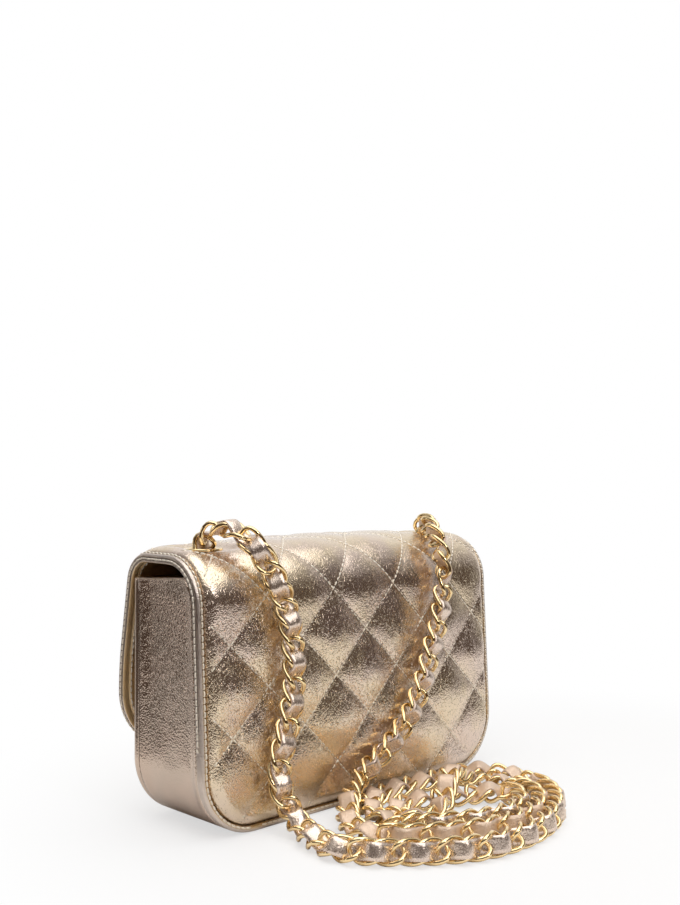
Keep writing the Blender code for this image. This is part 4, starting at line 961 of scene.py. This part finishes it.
class BAG_OT_gusset(bpy.types.Operator):
    """One strip of leather down one side, under the bag and up the other, hemmed at the mouth"""

    bl_idname = "bag.gusset"
    bl_label = "Gusset"

    def execute(self, context):
        line = FRONT.outline(GUSSET_STEP)
        share = np.linspace(0, 1, GUSSET_STEPS)[None, :]
        x, z, inward_x, inward_z = (line[:, k:k + 1] for k in range(4))
        straight = np.clip((z - CORNER_RADIUS) / (MOUTH_HEIGHT - CORNER_RADIUS), 0, 1)
        side = np.abs(inward_x) ** 2 * ease(z / CORNER_RADIUS)
        high = z + GUSSET_RISE * share * straight
        front = SKIN + GAP
        depth = gusset_back(high) - front
        y = front + share * depth
        bow = ease(np.minimum(share, 1 - share) * depth / GUSSET_BOW)
        hem = GUSSET_HEM * ease((z - (MOUTH_HEIGHT - HEM_DEPTH)) / HEM_RAMP)
        waves = WAVE_RISE * crumple(np.stack([x + 0 * y, y, high], -1), WAVE_SIZE, 5.5) * bow * side
        outer = side * (GUSSET_FLUSH + (GUSSET_INSET - GUSSET_FLUSH) * bow) - hem * side + waves
        inner = side * GUSSET_INSET + GUSSET_WALL + 0 * y

        def at(inset):
            return np.stack([x + inward_x * inset, y + FRONT_Y + 0 * inset, high + inward_z * inset], -1)

        grained = GRAIN_LEAST + (1 - GRAIN_LEAST) * ease((high - GRAIN_FROM) / GRAIN_RAMP)
        gusset = slab("gusset_leather", at(outer), at(inner), folds=grained)
        carry(dress(gusset, "gusset"), "bag_body", "plain_leather", "gusset")
        rows = []
        for row, lift in GUSSET_SEAMS:
            run = at(inner - lift)[row, 2:-2]
            rows.append((run, np.tile([1.0 if run[0, 0] < 0 else -1.0, 0, 0], (len(run), 1))))
        sew("gusset_stitches", rows, context.scene.bag_looks.edge_pitch, "bag_body", "plain_leather")
        return {"FINISHED"}


# The strap's middle line in mm, from anchor to anchor. Where no height is given, it lies on the floor.
LYING_HEIGHT = 3.8
ROUTE = (
    (76.0, 21.5, 114.4), (76.0, 21.5, 120.0), (76.0, 21.9, 126.0), (76.0, 23.5, 131.0), (75.8, 27.5, 134.8),
    (75.2, 33.0, 136.6), (74.2, 39.5, 136.2), (72.6, 46.5, 134.0), (70.0, 52.5, 129.3), (67.0, 56.5, 122.3),
    (63.5, 59.0, 114.5), (59.8, 60.4, 105.0), (56.6, 60.9, 94.5), (54.8, 61.2, 83.5), (54.2, 61.5, 72.0),
    (55.1, 61.7, 61.0), (57.8, 62.2, 50.0), (61.6, 62.6, 39.5), (64.0, 62.6, 29.0), (62.6, 62.4, 19.0),
    (60.2, 64.0, 11.0), (60.5, 69.5, 6.0), (63.0, 78.0), (67.2, 90.0), (69.5, 102.0), (68.0, 112.0),
    (62.0, 121.5), (55.0, 128.5), (46.0, 136.0), (35.0, 143.2), (24.0, 148.2), (10.0, 150.5), (-8.0, 150.0),
    (-28.0, 144.7), (-46.0, 135.0), (-59.0, 123.0), (-68.0, 106.0), (-71.5, 88.5), (-68.5, 74.5),
    (-59.0, 67.2), (-44.0, 64.8), (-24.0, 64.0), (-8.0, 63.8), (3.5, 65.0), (11.5, 68.5), (18.5, 74.8),
    (24.5, 83.0), (28.3, 92.0), (28.5, 101.0), (23.5, 110.0), (14.5, 117.5), (2.0, 123.8), (-11.0, 127.5),
    (-24.0, 127.0), (-37.0, 121.0), (-44.0, 112.0), (-43.5, 103.5), (-36.5, 97.3), (-26.0, 93.0),
    (-12.0, 87.0), (1.0, 83.0), (9.0, 83.8), (15.0, 88.0), (17.7, 94.5), (16.0, 101.5), (10.5, 106.0),
    (3.5, 105.2, 5.2), (-4.5, 100.5, 8.0), (-13.5, 94.5, 11.8), (-23.5, 88.2, 13.8), (-33.5, 83.0, 11.0),
    (-42.0, 80.0, 7.0), (-50.0, 81.2, 4.5), (-56.0, 88.2), (-57.8, 100.5), (-54.0, 114.0), (-45.5, 125.5),
    (-33.0, 133.5), (-15.0, 137.8), (-1.0, 137.2), (12.0, 133.0), (23.0, 128.0), (33.5, 121.0),
    (41.5, 113.5), (46.5, 104.5), (46.5, 94.5), (42.5, 85.5, 4.0), (36.0, 77.8, 5.0), (29.0, 71.3, 7.0),
    (22.0, 66.5, 10.2), (14.5, 63.7, 14.8), (6.0, 62.8, 19.6), (-8.0, 62.6, 27.2), (-20.5, 62.5, 37.4),
    (-29.5, 62.2, 48.6), (-36.4, 61.6, 60.4), (-41.9, 60.9, 72.6), (-47.9, 60.3, 85.0), (-51.0, 60.0, 98.0),
    (-52.5, 59.5, 109.0), (-53.2, 57.6, 117.2), (-54.6, 53.8, 123.8), (-57.5, 48.3, 128.8),
    (-61.5, 42.0, 131.8), (-66.2, 35.2, 133.4), (-71.2, 28.6, 132.6), (-74.8, 23.8, 130.0),
    (-75.8, 21.8, 125.6), (-76.0, 21.5, 120.0), (-76.0, 21.5, 114.4),
)
SAMPLES_PER_SPAN = 12
ROUTE_STEP = 0.001
EDGE_LIFT = 1.9
FLAT_LIFT = 1.1
LEAN = 0.20
UP = np.array([0, 0, 1.0])
FACING_AT = (0.13, 0.16, 0.20, 0.25)
FACING = ((0.00, 0.30, 0.45, 0.00), (1.00, 0.90, 0.80, 1.00), (0.00, 0.25, 0.35, 0.20))

# Where along the strap, in metres, it hangs, rises, crosses over itself and turns, each with its ramp
HANG_END, HANG_RAMP = 0.150, 0.035
RISE_LENGTH, RISE_RAMP = 0.215, 0.030
CROSSING_CLEAR, CROSSING_HALF, CROSSING_RAMP = 0.3, 0.008, 0.022
UPRIGHT_FROM, UPRIGHT_RAMP, UPRIGHT_LEAST = 0.098, 0.016, 0.15
ARCH_TURN, ARCH_START, ARCH_START_RAMP, ARCH_END, ARCH_END_RAMP = 0.75, 0.030, 0.020, 0.095, 0.030
FACING_START, FACING_END, FACING_RAMP = 0.110, 0.360, 0.030

# Chain and ribbon: where the first link sits, the steps of their meshes, and the ribbon's cup in mm
FIRST_LINK = 0.0026
LINK_STEPS, WIRE_SIDES = 26, 7
RIBBON_STEP = 0.0011
RIBBON_CUP = 0.35
PATH_EVERY = 8


class Route:
    """The strap's middle line, with its width direction and its flat side at each length."""

    def __init__(self):
        line = self.through_points()
        lengths = np.concatenate([[0], np.cumsum(np.linalg.norm(np.diff(line, axis=0), axis=1))])
        count = int(lengths[-1] / ROUTE_STEP)
        self.s = s = np.linspace(0, lengths[-1], count + 1)
        self.length = lengths[-1]
        points = self.smoothed(np.stack([np.interp(s, lengths, line[:, k]) for k in range(3)], -1), 6)
        hanging = 1 - ease((s - HANG_END) / HANG_RAMP)
        rising = ease((s - (self.length - RISE_LENGTH)) / RISE_RAMP)
        clear = (s > CROSSING_CLEAR) & (s < self.length - CROSSING_CLEAR)
        crossing_at = s[np.argmax(np.where(clear, points[:, 2], 0))]
        crossing = ease(1 - (np.abs(s - crossing_at) - CROSSING_HALF) / CROSSING_RAMP)
        lying = (1 - hanging) * (1 - rising)
        near = ease((points[:, 1] - FRONT_Y - UPRIGHT_FROM) / UPRIGHT_RAMP)
        upright = np.maximum(near, UPRIGHT_LEAST) * (1 - crossing)
        points[:, 2] += (FLAT_LIFT + (EDGE_LIFT - FLAT_LIFT) * upright) * MM * lying
        tangent = unit(np.gradient(points, axis=0))
        flat = unit(np.cross(tangent, UP))
        up = np.cross(flat, tangent)
        angle = upright * (math.pi / 2 - LEAN * tangent[:, 0])
        across = -flat * np.cos(angle)[:, None] - up * np.sin(angle)[:, None]
        turned = np.zeros_like(points)
        face_on = ARCH_TURN * ease((s - ARCH_START) / ARCH_START_RAMP) * ease((ARCH_END - s) / ARCH_END_RAMP)
        turned[:, 0], turned[:, 1] = np.cos(face_on), -np.sin(face_on)
        across = (across * lying[:, None] + turned * hanging[:, None]
                  + (1 - hanging)[:, None] * (1 - lying)[:, None] * -UP)
        seen = np.stack([np.interp(s, FACING_AT, row) for row in FACING], -1)
        first_row = ease((s - FACING_START) / FACING_RAMP) * ease((FACING_END - s) / FACING_RAMP)
        first_row = first_row[:, None]
        across = square_to(tangent, across * (1 - first_row) + np.cross(tangent, seen) * first_row)
        for _ in range(8):
            across = square_to(tangent, self.smoothed(across, 1))
        self.points, self.tangent, self.across = points, tangent, across
        self.facing = np.cross(tangent, across)

    @staticmethod
    def through_points():
        """A smooth line through the route's points, in metres."""
        control = np.array([(*place[:2], *(place[2:] or (LYING_HEIGHT,))) for place in ROUTE])
        control[:, 1] += FRONT_Y / MM
        padded = np.vstack([2 * control[0] - control[1], control, 2 * control[-1] - control[-2]])
        line = []
        for before, start, end, after in zip(padded, padded[1:], padded[2:], padded[3:]):
            for k in range(SAMPLES_PER_SPAN):
                t = k / SAMPLES_PER_SPAN
                curve = 2 * start + (end - before) * t
                curve = curve + (2 * before - 5 * start + 4 * end - after) * t * t
                line.append((curve + (3 * start - before - 3 * end + after) * t ** 3) / 2)
        return np.array(line + [control[-1]]) * MM

    @staticmethod
    def smoothed(rows, times):
        rows = rows.copy()
        for _ in range(times):
            rows[1:-1] = (rows[:-2] + 2 * rows[1:-1] + rows[2:]) / 4
        return rows

    def read(self, field, s):
        inside = np.clip(s, 0, self.length)
        return np.stack([np.interp(inside, self.s, field[:, k]) for k in range(3)], -1)

    def place(self, s, u, v):
        """World points at lengths s, u across the strap and v out of its flat side."""
        s, u, v = np.broadcast_arrays(s, u, v)
        over = np.where(s < 0, s, np.where(s > self.length, s - self.length, 0))
        base = self.read(self.points, s) + self.read(self.tangent, s) * over[..., None]
        return base + self.read(self.across, s) * u[..., None] + self.read(self.facing, s) * v[..., None]


def chain_links(looks, route, links, pitch):
    """Twisted oval links, each a closed ring of wire."""
    half_long = looks.link_length / 2 - looks.wire_radius
    half_wide = looks.link_width / 2 - looks.wire_radius
    turn = np.linspace(0, 2 * math.pi, LINK_STEPS, endpoint=False)
    lobe = (np.abs(np.cos(turn)) ** 2.0 + np.abs(np.sin(turn)) ** 2.0) ** (-1 / 2.0)
    long, wide = half_long * np.cos(turn) * lobe, half_wide * np.sin(turn) * lobe
    twist = looks.link_twist * np.sin(2 * turn)
    sides = np.linspace(0, 2 * math.pi, WIRE_SIDES, endpoint=False)
    parts = []
    for k in range(links + 1):
        middle = route.place(FIRST_LINK + k * pitch + long, wide, twist)
        run = unit(np.roll(middle, -1, axis=0) - np.roll(middle, 1, axis=0))
        out = square_to(run, middle - middle.mean(axis=0))
        up = np.cross(run, out)
        rings = middle[:, None, :] + looks.wire_radius * (
            out[:, None, :] * np.cos(sides)[None, :, None] + up[:, None, :] * np.sin(sides)[None, :, None])
        parts.append(tube_mesh(rings, closed_path=True))
    chain = merge_parts("chain_links", parts)
    face_outwards(chain)
    return dress(chain, "gold")


def ribbon_finish(sides):
    """The ribbon's strips: foil on its outer side, raw edges, and its inner side."""
    return [0 if side < 4 else 1 if side in (4, 5, 10, 11) else 2 for side in range(sides)]


def woven_ribbon(looks, route, s, pitch):
    """One leather ribbon that swings from one side of the chain to the other between its links."""
    phase = (s - FIRST_LINK) / pitch
    outward = np.clip(route.read(route.facing, s) @ np.array([0, 1.0, 1.0]) * 1.5, -1, 1)
    swing = looks.ribbon_swing * np.sin(math.pi * phase) + looks.ribbon_bias * outward
    half, thick = looks.ribbon_width / 2, looks.ribbon_thickness / 2
    section = np.array([
        (-half, -thick * 0.7), (-half * 0.55, -thick), (0, -thick * 1.05), (half * 0.55, -thick),
        (half, -thick * 0.7), (half * 1.02, 0), (half, thick * 0.7), (half * 0.55, thick),
        (0, thick * 1.05), (-half * 0.55, thick), (-half, thick * 0.7), (-half * 1.02, 0)])
    cup = RIBBON_CUP * MM * np.cos(math.pi * phase)
    u, rings = section[:, 0], []
    for k, slope in enumerate(np.gradient(swing, s)):
        tilt = math.atan(slope)
        w = section[:, 1] + cup[k] * (u / half) ** 2
        rings.append(route.place(s[k] - w * math.sin(tilt), u, swing[k] + w * math.cos(tilt)))
    ribbon = merge_parts("strap_ribbon", [tube_mesh(np.array(rings))])
    dress(ribbon, "ribbon", "raw_edge", "ribbon_back")
    marks = ribbon_finish(len(section)) * (len(s) - 1)
    for polygon, mark in zip(ribbon.data.polygons, marks):
        polygon.material_index = mark
    face_outwards(ribbon)
    return ribbon


class BAG_OT_strap(bpy.types.Operator):
    """Curb chain laced with a leather ribbon, from eyelet to eyelet"""

    bl_idname = "bag.strap"
    bl_label = "Chain strap"

    def execute(self, context):
        looks = context.scene.bag_looks
        route = Route()
        span = route.length - 2 * FIRST_LINK
        links = round(span / looks.link_pitch)
        pitch = span / links
        chain = chain_links(looks, route, links, pitch)
        carry(chain, "bag_body", "gold_hardware", "strap_left_drop", "strap_right_drop")
        s = np.arange(0, route.length, RIBBON_STEP)
        ribbon = woven_ribbon(looks, route, s, pitch)
        carry(ribbon, "bag_body", "strap", "strap_loops", "strap_left_drop", "strap_right_drop")
        path = [tuple(p) for p in route.place(s[::PATH_EVERY], 0, 0)] + [tuple(route.place(s[-1], 0, 0))]
        real = sum((Vector(b) - Vector(a)).length for a, b in zip(path, path[1:]))
        tuple(route.place(0.0, 0, 0))
        return {"FINISHED"}


SCREW_SLOT = (0.0060, 0.0007, 0.00045)
SLOT_TURNS = {"upper": 35, "left": 35, "lower": 110, "right": 110}
FACING_SEAM_WIDER, FACING_FRONT = 1.45, 0.0054
MERGE_DISTANCE, FLAT_ANGLE, BEVEL_ANGLE, SMOOTH_ANGLE = 0.00001, 1.5, 35, 40
SIDE_METAL = (
    ("eyelet_", "eyelet_flange_", 0.00035, "gold", 3, "gold_hardware"),
    ("eyelet_washer_", "washer_", 0.0001, "brushed", 2, "gold_hardware"),
    ("anchor_rivet_", "rivet_", 0.0002, "gold", 3, "gold_hardware"),
    ("anchor_tab_", "ring_tab_", 0.0003, "flap_lining", 2, "plain_leather"),
)
LOCK_METAL = (
    ("lock_front_plate", "flap", 0.0005, "gold"), ("lock_rear_plate", "flap", 0.0002, "brushed"),
    ("lock_base_plate", "bag_body", 0.0004, "brushed"),
    ("lock_backing_plate", "bag_body", 0.0002, "brushed"), ("turn_knob", "knob", 0.0007, "gold"),
    ("plate_screw_upper", "flap", 0.00025, "gold"), ("plate_screw_lower", "flap", 0.00025, "gold"),
    ("base_screw_left", "bag_body", 0.00025, "gold"), ("base_screw_right", "bag_body", 0.00025, "gold"),
)


def eased_copy(source, name, width, key, steps=2):
    """A rigid CAD piece again, with its edges rounded by a bevel."""
    deselect()
    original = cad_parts[source]
    piece = bpy.data.objects.new(name, original.data.copy())
    bpy.context.scene.collection.objects.link(piece)
    choose(piece)
    bpy.ops.object.mode_set(mode="EDIT")
    bpy.ops.mesh.select_all(action="SELECT")
    bpy.ops.mesh.remove_doubles(threshold=MERGE_DISTANCE)
    bpy.ops.mesh.dissolve_limited(angle_limit=math.radians(FLAT_ANGLE))
    bpy.ops.mesh.normals_make_consistent(inside=False)
    bpy.ops.object.mode_set(mode="OBJECT")
    bevel = piece.modifiers.new("edges", "BEVEL")
    bevel.width, bevel.segments, bevel.limit_method = width, steps, "ANGLE"
    bevel.angle_limit = math.radians(BEVEL_ANGLE)
    bpy.ops.object.modifier_apply(modifier=bevel.name)
    bpy.ops.object.shade_smooth_by_angle(angle=math.radians(SMOOTH_ANGLE))
    dress(piece, key)
    return piece


def screw_slot(piece, centre, angle):
    """Cut a driver's slot across a screw head that faces along Y."""
    deselect()
    bpy.ops.mesh.primitive_cube_add(size=1, location=centre, rotation=(0, angle, 0), scale=SCREW_SLOT)
    cutter = bpy.context.object
    bpy.ops.object.transform_apply(location=True, rotation=True, scale=True)
    choose(piece)
    cut = piece.modifiers.new("slot", "BOOLEAN")
    cut.object, cut.solver, cut.operation = cutter, "EXACT", "DIFFERENCE"
    bpy.ops.object.modifier_apply(modifier=cut.name)
    bpy.data.objects.remove(cutter)


class BAG_OT_hardware(bpy.types.Operator):
    """Eyelets, anchors, lock plates, screws and turning knob, with eased edges"""

    bl_idname = "bag.hardware"
    bl_label = "Gold hardware"

    def execute(self, context):
        for side in ("left", "right"):
            for source, name, width, key, steps, slot in SIDE_METAL:
                piece = eased_copy(source + side, name + side, width, key, steps)
                carry(piece, "bag_body", slot, source + side)
        for source, body, width, key in LOCK_METAL:
            piece = eased_copy(source, source + "_eased", width, key, 3)
            if "screw" in source:
                low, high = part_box(source)
                middle = ((low[0] + high[0]) / 2, low[1], (low[2] + high[2]) / 2)
                screw_slot(piece, middle, math.radians(SLOT_TURNS[source.split("_")[-1]]))
            carry(piece, body, "gold_hardware", source)
        return {"FINISHED"}


class BAG_OT_inside(bpy.types.Operator):
    """Finishes of the lining, pocket and facing, and the stitching that holds them"""

    bl_idname = "bag.inside"
    bl_label = "Inside"

    def execute(self, context):
        piece = eased_copy("mouth_facing", "facing_strip", 0.0003, "flap_lining")
        carry(piece, "bag_body", "plain_leather", "mouth_facing")
        piece = eased_copy("inner_pocket", "slip_pocket", 0.0003, "lining")
        carry(piece, "bag_body", "lining_cloth", "inner_pocket")
        low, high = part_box("inner_pocket")
        x = np.linspace(low[0] + 3 * MM, high[0] - 3 * MM, 60) * FACING_SEAM_WIDER
        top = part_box("mouth_facing")[1][2] - 3 * MM
        run = np.stack([x, 0 * x + (FRONT_Y + FACING_FRONT), 0 * x + top], -1)
        rows = [(run, np.tile([0, 1.0, 0], (len(run), 1)))]
        sew("facing_stitches", rows, context.scene.bag_looks.edge_pitch, "bag_body", "plain_leather")
        keys = {"lining": "lining", "base_board": "board"}
        for name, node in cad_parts.items():
            if not node.hide_render:
                dress(node, keys.get(name, "gold"))
        return {"FINISHED"}


def away_from_camera(nodes, links, coordinates, output, low, high):
    """A mask of the side that lies behind the bag as the photograph shows it."""
    towards = add_node(nodes, "VectorMath", {1: AWAY}, operation="DOT_PRODUCT")
    behind = add_node(nodes, "MapRange", {"From Min": low, "From Max": high})
    link_all(links, ((coordinates, output, towards, 0), (towards, "Value", behind, "Value")))
    return behind


def backdrop_share(nodes, links, behind):
    """1 for rays that see the white backdrop: camera, transmission, and glossy ones behind the bag."""
    path = add_node(nodes, "LightPath")
    direct = add_node(nodes, "Math", operation="MAXIMUM")
    mirrored = add_node(nodes, "Math", operation="MULTIPLY")
    softened = add_node(nodes, "Math", {1: MIRRORED}, operation="MULTIPLY")
    either = add_node(nodes, "Math", operation="MAXIMUM")
    link_all(links, (
        (path, "Is Camera Ray", direct, 0),
        (path, "Is Transmission Ray", direct, 1),
        (path, "Is Glossy Ray", mirrored, 0),
        (behind, "Result", mirrored, 1),
        (direct, 0, either, 0),
        (mirrored, 0, softened, 0),
        (softened, 0, either, 1),
    ))
    return either


def floor_material():
    """A pale matte floor that fades into the white backdrop and keeps the bag's shadow."""
    made, nodes, links, shader = new_material("Studio floor")
    shader.inputs["Base Color"].default_value = FLOOR_COLOUR
    shader.inputs["Roughness"].default_value = 0.8
    shader.inputs["Specular IOR Level"].default_value = 0
    white = add_node(nodes, "Emission", {"Color": WHITE})
    coordinates = add_node(nodes, "TexCoord")
    away = add_node(nodes, "VectorMath", operation="LENGTH")
    fade = add_node(nodes, "MapRange", FLOOR_FADE, interpolation_type="SMOOTHSTEP")
    share = add_node(nodes, "Math", operation="MULTIPLY")
    mixing = add_node(nodes, "MixShader")
    behind = away_from_camera(nodes, links, coordinates, "Object", *FLOOR_BEHIND)
    link_all(links, (
        (coordinates, "Object", away, 0),
        (away, "Value", fade, "Value"),
        (backdrop_share(nodes, links, behind), 0, share, 0),
        (fade, "Result", share, 1),
        (share, 0, mixing, "Fac"),
        (shader, 0, mixing, 1),
        (white, 0, mixing, 2),
        (mixing, 0, nodes["Material Output"], "Surface"),
    ))
    return made


def studio_world():
    """White backdrop, pale overhead and the dark brown of the room on the camera's side."""
    world = bpy.data.worlds.new("Studio")
    world.use_nodes = True
    nodes, links = world.node_tree.nodes, world.node_tree.links
    nodes.clear()
    output = add_node(nodes, "OutputWorld")
    coordinates = add_node(nodes, "TexCoord")
    behind = away_from_camera(nodes, links, coordinates, "Generated", *WORLD_BEHIND)
    split = add_node(nodes, "SeparateXYZ")
    high = add_node(nodes, "MapRange", OVERHEAD_RISE)
    brighter = add_node(nodes, "Math", operation="MAXIMUM")
    dim = add_node(nodes, "Mix", {"A": ROOM_COLOUR, "B": OVERHEAD}, data_type="RGBA")
    studio = add_node(nodes, "Background")
    plain = add_node(nodes, "Background", {"Color": WHITE})
    mixing = add_node(nodes, "MixShader")
    link_all(links, (
        (coordinates, "Generated", split, 0),
        (split, "Z", high, "Value"),
        (behind, "Result", brighter, 0),
        (high, "Result", brighter, 1),
        (brighter, 0, dim, "Factor"),
        (dim, "Result", studio, "Color"),
        (backdrop_share(nodes, links, behind), 0, mixing, "Fac"),
        (studio, 0, mixing, 1),
        (plain, 0, mixing, 2),
        (mixing, 0, output, "Surface"),
    ))
    return world


class BAG_OT_studio(bpy.types.Operator):
    """Floor, lamps, surroundings and camera"""

    bl_idname = "bag.studio"
    bl_label = "Studio"

    def execute(self, context):
        scene = context.scene
        scene.view_settings.view_transform = "Standard"
        scene.world = studio_world()
        deselect()
        bpy.ops.mesh.primitive_circle_add(vertices=96, radius=FLOOR_RADIUS, fill_type="NGON",
                                          location=FLOOR_CENTRE)
        floor = context.object
        floor.name = "studio_floor"
        floor.data.materials.append(floor_material())
        for name, place, size, power in LAMPS:
            deselect()
            bpy.ops.object.light_add(type="AREA", location=place)
            lamp = context.object
            lamp.name = name
            lamp.data.shape = "DISK"
            lamp.data.size = size
            lamp.data.energy = power
            lamp.rotation_euler = (Vector(LAMP_TARGET) - Vector(place)).to_track_quat("-Z", "Y").to_euler()
        deselect()
        bpy.ops.object.camera_add(location=CAMERA_PLACE)
        camera = context.object
        camera.name = "photo_camera"
        camera.rotation_euler = Vector(CAMERA_LOOK).to_track_quat("-Z", "Y").to_euler()
        camera.data.sensor_width = SENSOR
        camera.data.lens = FOCAL_PIXELS / FRAME_PIXELS * SENSOR
        camera.data.clip_start = 0.01
        scene.camera = camera
        return {"FINISHED"}


class BagLooks(bpy.types.PropertyGroup):
    """Sizes and colours that a user may change"""

    quilt_colour: bpy.props.FloatVectorProperty(
        name="Quilt colour", description="Warm tint of the quilted foil", default=(0.80, 0.66, 0.48),
        size=3, min=0, max=1, subtype="COLOR")
    gusset_colour: bpy.props.FloatVectorProperty(
        name="Gusset colour", description="Warm tint of the gusset's foil", default=(0.66, 0.52, 0.42),
        size=3, min=0, max=1, subtype="COLOR")
    ribbon_colour: bpy.props.FloatVectorProperty(
        name="Ribbon colour", description="Warm tint of the ribbon's foil", default=(0.84, 0.69, 0.57),
        size=3, min=0, max=1, subtype="COLOR")
    thread_colour: bpy.props.FloatVectorProperty(
        name="Thread colour", description="Light tint of the thread", default=(0.98, 0.90, 0.78),
        size=3, min=0, max=1, subtype="COLOR")
    gold_colour: bpy.props.FloatVectorProperty(
        name="Gold colour", description="Light tint of the polished metal", default=(0.95, 0.75, 0.43),
        size=3, min=0, max=1, subtype="COLOR")
    quilt_steps: bpy.props.IntProperty(
        name="Quilt steps", description="Mesh steps in half a diamond", default=18)
    stitch_pitch: bpy.props.FloatProperty(
        name="Stitch pitch", description="One quilting stitch and its gap", default=0.0029, unit="LENGTH")
    edge_pitch: bpy.props.FloatProperty(
        name="Edge stitch pitch", description="One edge stitch and its gap", default=0.0030, unit="LENGTH")
    thread_radius: bpy.props.FloatProperty(
        name="Thread radius", description="Radius of the thread", default=0.00048, unit="LENGTH")
    link_pitch: bpy.props.FloatProperty(
        name="Link pitch", description="From one chain link to the next", default=0.00925, unit="LENGTH")
    link_length: bpy.props.FloatProperty(
        name="Link length", description="Outer length of a chain link", default=0.0164, unit="LENGTH")
    link_width: bpy.props.FloatProperty(
        name="Link width", description="Outer width of a chain link", default=0.0116, unit="LENGTH")
    link_twist: bpy.props.FloatProperty(
        name="Link twist", description="Rise of the wire out of its flat", default=-0.0028, unit="LENGTH")
    wire_radius: bpy.props.FloatProperty(
        name="Wire radius", description="Radius of the chain's wire", default=0.00110, unit="LENGTH")
    ribbon_width: bpy.props.FloatProperty(
        name="Ribbon width", description="Width of the leather ribbon", default=0.0074, unit="LENGTH")
    ribbon_thickness: bpy.props.FloatProperty(
        name="Ribbon thickness", description="Thickness of the ribbon", default=0.0013, unit="LENGTH")
    ribbon_bias: bpy.props.FloatProperty(
        name="Ribbon bias", description="How far it stands out outside", default=0.0009, unit="LENGTH")
    ribbon_swing: bpy.props.FloatProperty(
        name="Ribbon swing", description="How far it weaves out of the chain", default=0.0030, unit="LENGTH")


OPERATORS = (
    BAG_OT_finishes, BAG_OT_quilting, BAG_OT_edges, BAG_OT_gusset, BAG_OT_strap, BAG_OT_hardware,
    BAG_OT_inside, BAG_OT_studio,
)


class BAG_PT_panel(bpy.types.Panel):
    """Steps and sizes of the bag"""

    bl_label = "Quilted bag"
    bl_idname = "BAG_PT_panel"
    bl_space_type = "VIEW_3D"
    bl_region_type = "UI"
    bl_category = "Bag"

    def draw(self, context):
        for operator in OPERATORS:
            self.layout.operator(operator.bl_idname)
        for name in BagLooks.__annotations__:
            self.layout.prop(context.scene.bag_looks, name)


CLASSES = (BagLooks, *OPERATORS, BAG_PT_panel)


def register():
    for made in CLASSES:
        bpy.utils.register_class(made)
    bpy.types.Scene.bag_looks = bpy.props.PointerProperty(type=BagLooks)


def unregister():
    del bpy.types.Scene.bag_looks
    for made in reversed(CLASSES):
        bpy.utils.unregister_class(made)


def main():
    register()
    bpy.ops.bag.finishes()
    bpy.ops.bag.quilting()
    bpy.ops.bag.edges()
    bpy.ops.bag.gusset()
    bpy.ops.bag.strap()
    bpy.ops.bag.hardware()
    bpy.ops.bag.inside()
    bpy.ops.bag.studio()


if __name__ == "__main__":
    main()
